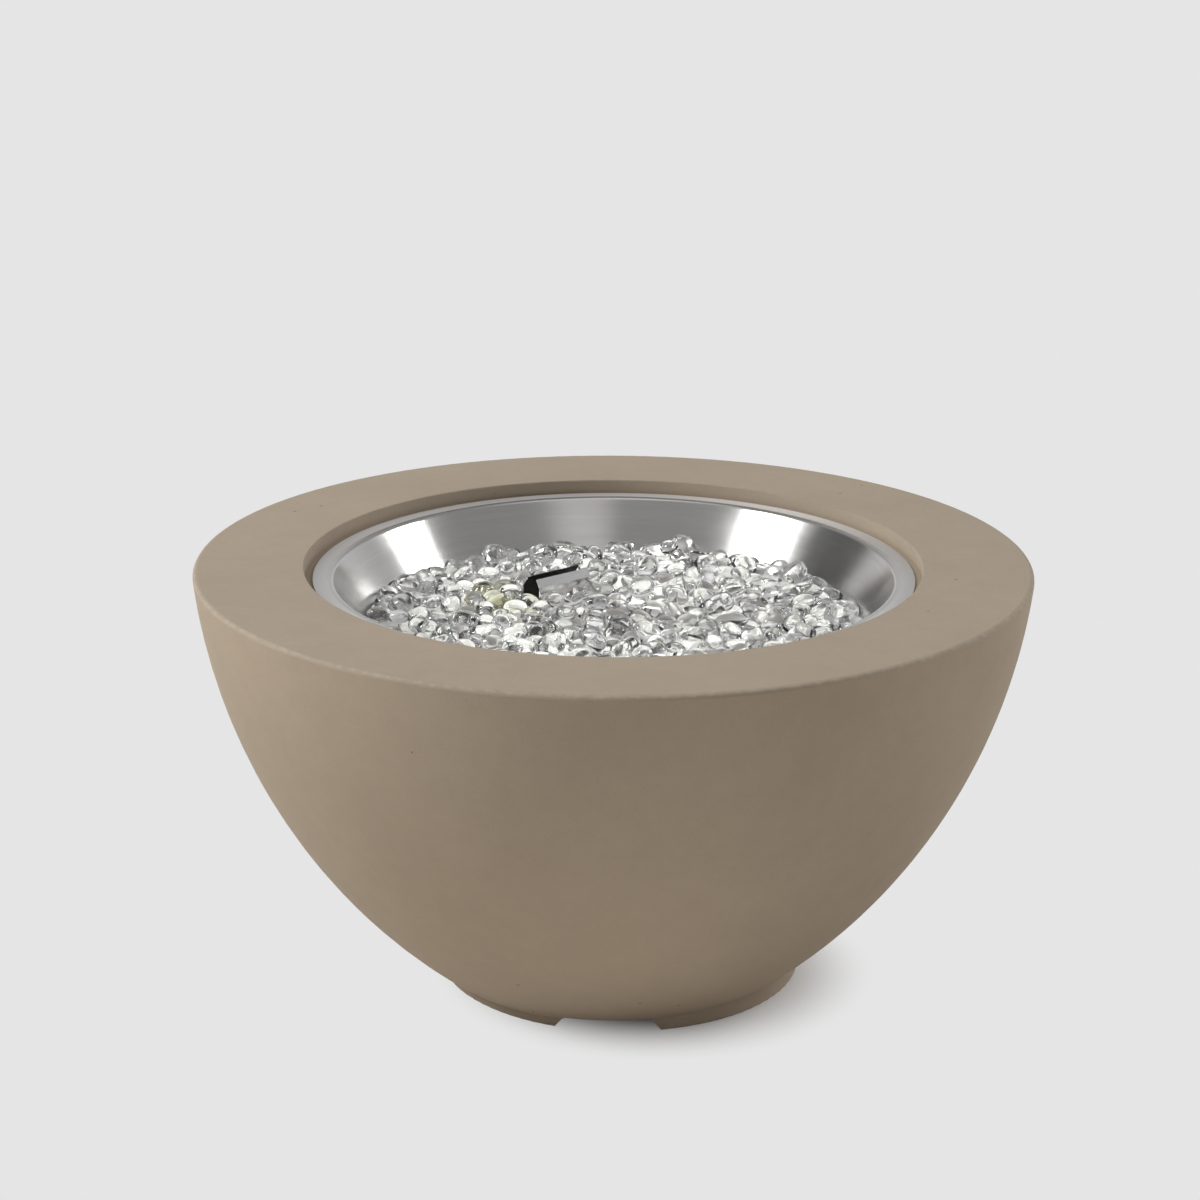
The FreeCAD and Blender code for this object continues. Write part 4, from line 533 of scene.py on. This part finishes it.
# Painted shade: faces that look into the hood are near black.
shaded_inside = add(tree, "MixRGB", Fac=inside.outputs[0], Color1=tone.outputs[0], Color2=linear("#0B0A09"))
bare = add(tree, "Math", {"operation": "SUBTRACT"}, S0=1.0, S1=inside.outputs[0])
satin = add(tree, "MapRange", Value=grain.outputs["Fac"], To_Min=0.14, To_Max=0.22)
matt = add(tree, "Math", {"operation": "MULTIPLY_ADD"}, S0=inside.outputs[0], S1=0.5, S2=satin.outputs[0])
surface = add(tree, "BsdfPrincipled", Base_Color=shaded_inside.outputs[0], Metallic=bare.outputs[0],
              Roughness=matt.outputs[0])
add(tree, "OutputMaterial", Surface=surface.outputs[0])
coat(mill, "pilot_hood")


# Pilot bracket. Bent from 1.2 mm steel strip and dipped in black heat-proof paint, which dries matt.
# It carries the pilot burner, the electrode and the thermocouple inside the hood.
painted, tree, place = new_finish("black_heat_paint")
speck = add(tree, "TexNoise", Vector=place, Scale=900.0, Detail=2.0)
tone = add(tree, "MixRGB", Fac=speck.outputs["Fac"], Color1=linear("#060606"), Color2=linear("#121211"))
rough = add(tree, "Bump", Strength=0.3, Distance=0.0002, Height=speck.outputs["Fac"])
surface = add(tree, "BsdfPrincipled", Base_Color=tone.outputs[0], Roughness=0.75, IOR=1.5,
              Normal=rough.outputs[0])
add(tree, "OutputMaterial", Surface=surface.outputs[0])
coat(painted, "pilot_bracket")


# Electrode insulator. Pressed and fired alumina, an off-white that the flame has stained a little.
fired, tree, place = new_finish("fired_alumina")
stain = add(tree, "TexNoise", Vector=place, Scale=220.0, Detail=3.0)
tone = add(tree, "MixRGB", Fac=stain.outputs["Fac"], Color1=linear("#C9B07E"), Color2=linear("#E6DCC4"))
surface = add(tree, "BsdfPrincipled", Base_Color=tone.outputs[0], Roughness=0.35, IOR=1.76)
add(tree, "OutputMaterial", Surface=surface.outputs[0])
coat(fired, "electrode_insulator")


# Small steel. Turned or pressed steel parts with a bright zinc plate, which is faintly blue and shows
# soft clouds: the screws, the pilot's burner and tips, the nipple and its locknut, the shutter.
zinc, tree, place = new_finish("bright_zinc_plate")
bloom = add(tree, "TexNoise", Vector=place, Scale=120.0, Detail=4.0, Roughness=0.6)
tone = add(tree, "MixRGB", Fac=bloom.outputs["Fac"], Color1=linear("#A9ACB0"), Color2=linear("#C8C9C8"))
surface = add(tree, "BsdfPrincipled", Base_Color=tone.outputs[0], Metallic=1.0,
              Roughness=add(tree, "MapRange", Value=bloom.outputs["Fac"], From_Min=0.3, From_Max=0.7,
                            To_Min=0.22, To_Max=0.38).outputs[0])
add(tree, "OutputMaterial", Surface=surface.outputs[0])
coat(zinc, "bracket_screws", "pilot_burner", "spark_electrode", "thermocouple", "burner_nipple",
     "burner_locknut", "air_shutter", "shutter_screw", "plate_screws", "valve_nut", "valve_stem",
     "knob_screw")


# Air mixer. Sand-cast in grey iron: a tube with two windows that lets air into the gas. The skin keeps
# the grain of the sand, under a film of oil.
cast, tree, place = new_finish("sand_cast_iron")
sand = add(tree, "TexNoise", Vector=place, Scale=700.0, Detail=3.0, Roughness=0.65)
rust = add(tree, "TexNoise", Vector=place, Scale=45.0, Detail=3.0)
tone = add(tree, "MixRGB", Fac=add(tree, "MapRange", Value=rust.outputs["Fac"], From_Min=0.45,
                                   From_Max=0.75).outputs[0],
           Color1=linear("#565655"), Color2=linear("#6A5C50"))
pitted = add(tree, "Bump", Strength=0.5, Distance=0.0004, Height=sand.outputs["Fac"])
surface = add(tree, "BsdfPrincipled", Base_Color=tone.outputs[0], Metallic=1.0, Roughness=0.58,
              Normal=pitted.outputs[0])
add(tree, "OutputMaterial", Surface=surface.outputs[0])
coat(cast, "air_mixer")


# Brass. Turned from bar and left bare: the orifice, the elbow, the hose and tube nuts, the valve, the
# gas inlet and the plate's inserts. Bright cuts with fine tool lines, and dulled where hands were.
brass, tree, place = new_finish("turned_brass")
dull = add(tree, "TexNoise", Vector=place, Scale=70.0, Detail=4.0)
tone = add(tree, "MixRGB", Fac=dull.outputs["Fac"], Color1=linear("#A98B4E"), Color2=linear("#D0B274"))
surface = add(tree, "BsdfPrincipled", Base_Color=tone.outputs[0], Metallic=1.0,
              Roughness=add(tree, "MapRange", Value=dull.outputs["Fac"], From_Min=0.3, From_Max=0.7,
                            To_Min=0.20, To_Max=0.38).outputs[0])
add(tree, "OutputMaterial", Surface=surface.outputs[0])
coat(brass, "gas_orifice", "hose_elbow", "hose_nut_mixer", "hose_nut_valve", "gas_valve", "inlet_fitting",
     "inlet_locknut", "tube_nuts", "plate_inserts")


# Control plate. Sheared from 2 mm stainless sheet with a brushed face, its lines running across. Four
# screws hold it in the cast pocket at the back.
brushed, tree, place = new_finish("brushed_stainless_sheet")
# Brush lines are about 0.1 mm apart; lines of 0.8 mm are the finest that show.
streak = add(tree, "Mapping", {"vector_type": "TEXTURE"}, Vector=place, Scale=(60.0, 1.0, 1.0))
line = add(tree, "TexNoise", Vector=streak.outputs[0], Scale=1250.0, Detail=3.0)
cloud = add(tree, "TexNoise", Vector=place, Scale=22.0, Detail=2.0)
tone = add(tree, "MixRGB", Fac=line.outputs["Fac"], Color1=linear("#A5A4A2"), Color2=linear("#D0CFCD"))
surface = add(tree, "BsdfPrincipled", Base_Color=tone.outputs[0], Metallic=1.0, Anisotropic=0.5,
              Roughness=add(tree, "MapRange", Value=cloud.outputs["Fac"], To_Min=0.26,
                            To_Max=0.42).outputs[0])
add(tree, "OutputMaterial", Surface=surface.outputs[0])
coat(brushed, "control_plate")


# Knob. Moulded in black phenolic with twelve flutes for the fingers, satin from the mould and a little
# worn to a shine on its grip.
phenolic, tree, place = new_finish("moulded_phenolic")
satin = add(tree, "TexNoise", Vector=place, Scale=1100.0, Detail=2.0)
handled = add(tree, "TexNoise", Vector=place, Scale=40.0, Detail=2.0)
skin = add(tree, "Bump", Strength=0.25, Distance=0.0002, Height=satin.outputs["Fac"])
tone = add(tree, "MixRGB", Fac=handled.outputs["Fac"], Color1=linear("#131211"), Color2=linear("#201F1D"))
surface = add(tree, "BsdfPrincipled", Base_Color=tone.outputs[0], IOR=1.6, Normal=skin.outputs[0],
              Roughness=add(tree, "MapRange", Value=handled.outputs["Fac"], From_Min=0.3, From_Max=0.7,
                            To_Min=0.36, To_Max=0.52).outputs[0])
add(tree, "OutputMaterial", Surface=surface.outputs[0])
coat(phenolic, "knob")


# Thrust washer. Punched from natural nylon, a waxy cream that light enters a little.
nylon, tree, place = new_finish("natural_nylon")
haze = add(tree, "TexNoise", Vector=place, Scale=260.0, Detail=2.0)
tone = add(tree, "MixRGB", Fac=haze.outputs["Fac"], Color1=linear("#DDD7C6"), Color2=linear("#EAE6DA"))
surface = add(tree, "BsdfPrincipled", Base_Color=tone.outputs[0], Roughness=0.42, IOR=1.53,
              Subsurface_Weight=0.15, Subsurface_Radius=(0.002, 0.002, 0.0015))
add(tree, "OutputMaterial", Surface=surface.outputs[0])
coat(nylon, "thrust_washer")


# Igniter. Body and nut are moulded in black ABS with a fine spark texture; the button is polished in
# the mould. It screws into the plate and holds one cell in a grey sleeve.
abs_black, tree, place = new_finish("spark_textured_abs")
texture = add(tree, "TexNoise", Vector=place, Scale=1400.0, Detail=2.0)
skin = add(tree, "Bump", Strength=0.35, Distance=0.0002, Height=texture.outputs["Fac"])
tone = add(tree, "MixRGB", Fac=texture.outputs["Fac"], Color1=linear("#151515"), Color2=linear("#1E1E1E"))
surface = add(tree, "BsdfPrincipled", Base_Color=tone.outputs[0], Roughness=0.48, IOR=1.53,
              Normal=skin.outputs[0])
add(tree, "OutputMaterial", Surface=surface.outputs[0])
coat(abs_black, "igniter_body", "igniter_nut")
polished, tree, place = new_finish("polished_abs")
scuff = add(tree, "TexNoise", Vector=place, Scale=300.0, Detail=4.0)
surface = add(tree, "BsdfPrincipled", Base_Color=linear("#171717"), IOR=1.53,
              Roughness=add(tree, "MapRange", Value=scuff.outputs["Fac"], From_Min=0.4, From_Max=0.75,
                            To_Min=0.10, To_Max=0.28).outputs[0])
add(tree, "OutputMaterial", Surface=surface.outputs[0])
coat(polished, "igniter_button")
sleeve, tree, place = new_finish("shrunk_pvc_sleeve")
fold = add(tree, "TexNoise", Vector=place, Scale=180.0, Detail=2.0)
tone = add(tree, "MixRGB", Fac=fold.outputs["Fac"], Color1=linear("#8A8C90"), Color2=linear("#96989C"))
surface = add(tree, "BsdfPrincipled", Base_Color=tone.outputs[0], Roughness=0.30, IOR=1.53)
add(tree, "OutputMaterial", Surface=surface.outputs[0])
coat(sleeve, "igniter_battery")


# Gas hose. Corrugated stainless hose from the valve down to the mixer's elbow, slack enough for the pan
# to lift. Its ribs are 3 mm apart and it ends inside a brass nut at each end.
millimetre = 0.001
joints = {joint["name"]: joint for joint in frame["record"]["behaviour"]["joints"]}
plate_out = Vector(joints["knob_turn"]["axis"])
plate_down = plate_out.cross(Vector((1, 0, 0)))
plate_depth = 10 * millimetre
plate_middle = Vector(joints["knob_turn"]["pos_m"]) - plate_out * plate_depth


def on_plate(across, down, out):
    """A point of the control plate in millimetres, as a point of the whole object."""
    return plate_middle + (Vector((1, 0, 0)) * across + plate_down * down + plate_out * out) * millimetre


def smooth_route(name, points):
    """Points along the smooth curve that these points steer."""
    curve = bpy.data.curves.new(name + "_route", "CURVE")
    curve.dimensions, curve.resolution_u = "3D", 40
    spline = curve.splines.new("NURBS")
    spline.points.add(len(points) - 1)
    for knot, point in zip(spline.points, points):
        knot.co = (*point, 1)
    spline.order_u, spline.use_endpoint_u = 3, True
    holder = bpy.data.objects.new(name + "_route", curve)
    mesh = bpy.data.meshes.new_from_object(holder)
    path = np.array([vert.co for vert in mesh.vertices])
    bpy.data.objects.remove(holder)
    bpy.data.curves.remove(curve)
    bpy.data.meshes.remove(mesh)
    return path


def draw_tube(name, path, radius, step, rib=0.0, pitch=1.0, sides=20):
    """A closed tube along a route, with a ring of points every step and ribs a pitch apart."""
    lengths = np.concatenate(([0], np.cumsum(np.linalg.norm(np.diff(path, axis=0), axis=1))))
    stations = np.linspace(0, lengths[-1], max(8, round(lengths[-1] / step)))
    spots = np.stack([np.interp(stations, lengths, path[:, axis]) for axis in range(3)], 1)
    ways = np.gradient(spots, axis=0)
    ways /= np.linalg.norm(ways, axis=1)[:, None]
    across = np.cross(ways[0], (1.0, 0.3, 0.2))
    points = []
    for spot, way, station in zip(spots, ways, stations):
        across = across - way * across.dot(way)
        across /= np.linalg.norm(across)
        beside = np.cross(way, across)
        wave = radius - rib * (0.5 + 0.5 * math.cos(2 * math.pi * station / pitch))
        for side in range(sides):
            angle = 2 * math.pi * side / sides
            points.append(spot + (across * math.cos(angle) + beside * math.sin(angle)) * wave)
    faces = []
    for ring in range(len(spots) - 1):
        for side in range(sides):
            a, b = ring * sides + side, ring * sides + (side + 1) % sides
            faces.append((a, b, b + sides, a + sides))
    faces.append(tuple(range(sides - 1, -1, -1)))
    faces.append(tuple(range(len(points) - sides, len(points))))
    mesh = bpy.data.meshes.new(name)
    mesh.from_pydata([tuple(point) for point in points], [], faces)
    mesh.polygons.foreach_set("use_smooth", [True] * len(mesh.polygons))
    tube = bpy.data.objects.new(name, mesh)
    bpy.context.scene.collection.objects.link(tube)
    return tube


def hang(tube, node, finish):
    """Gives a line its finish, hides the CAD node that it replaces and bakes its placing into its points.
    """
    tube.data.materials.append(finish)
    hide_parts(node)
    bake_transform(tube)


pan_axis = Vector(joints["shutter_turn"]["pos_m"])
elbow_level, nut_back, nut_front = 0.2066, 0.0303, 0.0750
nut_end = (pan_axis.x, pan_axis.y + nut_back, elbow_level)
nut_mouth = (pan_axis.x, pan_axis.y + nut_front, elbow_level)
slack = [Vector(point) * millimetre for point in
         ((14, 115, 192), (22, 160, 170), (20, 205, 165), (8, 250, 180))]
hose_path = smooth_route("gas_hose", [nut_end, nut_mouth, *slack, on_plate(0, 74.3, -40),
                                      on_plate(0, 29.3, -40)])
hose = draw_tube("corrugated_gas_hose", hose_path, 6.5 * millimetre, 0.75 * millimetre,
                 rib=1.0 * millimetre, pitch=3 * millimetre)
corrugated, tree, place = new_finish("corrugated_stainless")
film = add(tree, "TexNoise", Vector=place, Scale=150.0, Detail=3.0)
tone = add(tree, "MixRGB", Fac=film.outputs["Fac"], Color1=linear("#ADACA9"), Color2=linear("#C9C8C5"))
surface = add(tree, "BsdfPrincipled", Base_Color=tone.outputs[0], Metallic=1.0, Roughness=0.30)
add(tree, "OutputMaterial", Surface=surface.outputs[0])
hang(hose, "gas_hose", corrugated)


# Pilot tube. Soft aluminium tube of 4 mm, bent by hand, from the valve to the pilot's stem. The short
# supply tube between the inlet and the valve is the same stuff, 9.4 mm across.
drawn, tree, place = new_finish("drawn_aluminium")
rub = add(tree, "TexNoise", Vector=place, Scale=200.0, Detail=4.0)
tone = add(tree, "MixRGB", Fac=rub.outputs["Fac"], Color1=linear("#B9BABB"), Color2=linear("#D6D6D6"))
surface = add(tree, "BsdfPrincipled", Base_Color=tone.outputs[0], Metallic=1.0,
              Roughness=add(tree, "MapRange", Value=rub.outputs["Fac"], To_Min=0.25,
                            To_Max=0.48).outputs[0])
add(tree, "OutputMaterial", Surface=surface.outputs[0])
coat(drawn, "supply_tube")
pilot_place = Vector((pan_axis.x - 0.0525, pan_axis.y + 0.082, 0))


def on_pilot(along, height):
    """A point on the pilot's middle line in millimetres, as a point of the whole object."""
    return pilot_place + Vector((math.cos(hood_turn) * along, math.sin(hood_turn) * along,
                                 height)) * millimetre


pilot_end = on_pilot(1, 290.3)
tube_path = smooth_route("pilot_tube", [
    pilot_end, on_pilot(1, 262.6),
    *[Vector(point) * millimetre for point in ((-54, 105, 246), (-50, 140, 244), (-40, 176, 254),
                                               (-28, 208, 272), (-16, 236, 292))],
    on_plate(-9, -9, -88.3), on_plate(-9, -9, -60.3)])
hang(draw_tube("bent_pilot_tube", tube_path, 2.0 * millimetre, 2 * millimetre, sides=14),
     "pilot_tube", drawn)


# Thermocouple lead. A thin copper tube, drawn and annealed, from the tip in the flame back to the
# valve's magnet. It has browned a little.
copper, tree, place = new_finish("drawn_copper")
brown = add(tree, "TexNoise", Vector=place, Scale=90.0, Detail=4.0)
tone = add(tree, "MixRGB", Fac=brown.outputs["Fac"], Color1=linear("#9A5F41"), Color2=linear("#D2906C"))
surface = add(tree, "BsdfPrincipled", Base_Color=tone.outputs[0], Metallic=1.0,
              Roughness=add(tree, "MapRange", Value=brown.outputs["Fac"], To_Min=0.24,
                            To_Max=0.46).outputs[0])
add(tree, "OutputMaterial", Surface=surface.outputs[0])
sensor_end = on_pilot(13, 290.3)
lead_path = smooth_route("thermocouple_lead", [
    sensor_end, on_pilot(13, 262.6),
    *[Vector(point) * millimetre for point in ((-34, 115, 242), (-28, 142, 234), (-18, 174, 246),
                                               (-8, 206, 266), (2, 234, 289))],
    on_plate(9, -9, -88.3), on_plate(9, -9, -60.3)])
hang(draw_tube("copper_sensor_lead", lead_path, 1.3 * millimetre, 2 * millimetre, sides=12),
     "thermocouple_lead", copper)


# Igniter lead. Stranded wire in a black silicone sheath, pushed on to the igniter's terminal and the
# electrode's pin. The sheath is matt and a little dusty.
silicone, tree, place = new_finish("silicone_sheath")
dust = add(tree, "TexNoise", Vector=place, Scale=130.0, Detail=3.0)
tone = add(tree, "MixRGB", Fac=add(tree, "MapRange", Value=dust.outputs["Fac"], From_Min=0.45,
                                   From_Max=0.8).outputs[0],
           Color1=linear("#151515"), Color2=linear("#35332F"))
surface = add(tree, "BsdfPrincipled", Base_Color=tone.outputs[0], Roughness=0.62, IOR=1.41)
add(tree, "OutputMaterial", Surface=surface.outputs[0])
spark_end = on_pilot(-11, 290.3)
spark_path = smooth_route("igniter_lead", [
    spark_end, on_pilot(-11, 262.6),
    *[Vector(point) * millimetre for point in ((-66, 94, 242), (-76, 124, 236), (-76, 160, 247),
                                               (-68, 196, 265), (-56, 228, 286))],
    on_plate(-48, 0, -98), on_plate(-48, 0, -70.3)])
hang(draw_tube("sheathed_spark_lead", spark_path, 1.6 * millimetre, 2 * millimetre, sides=12),
     "igniter_lead", silicone)
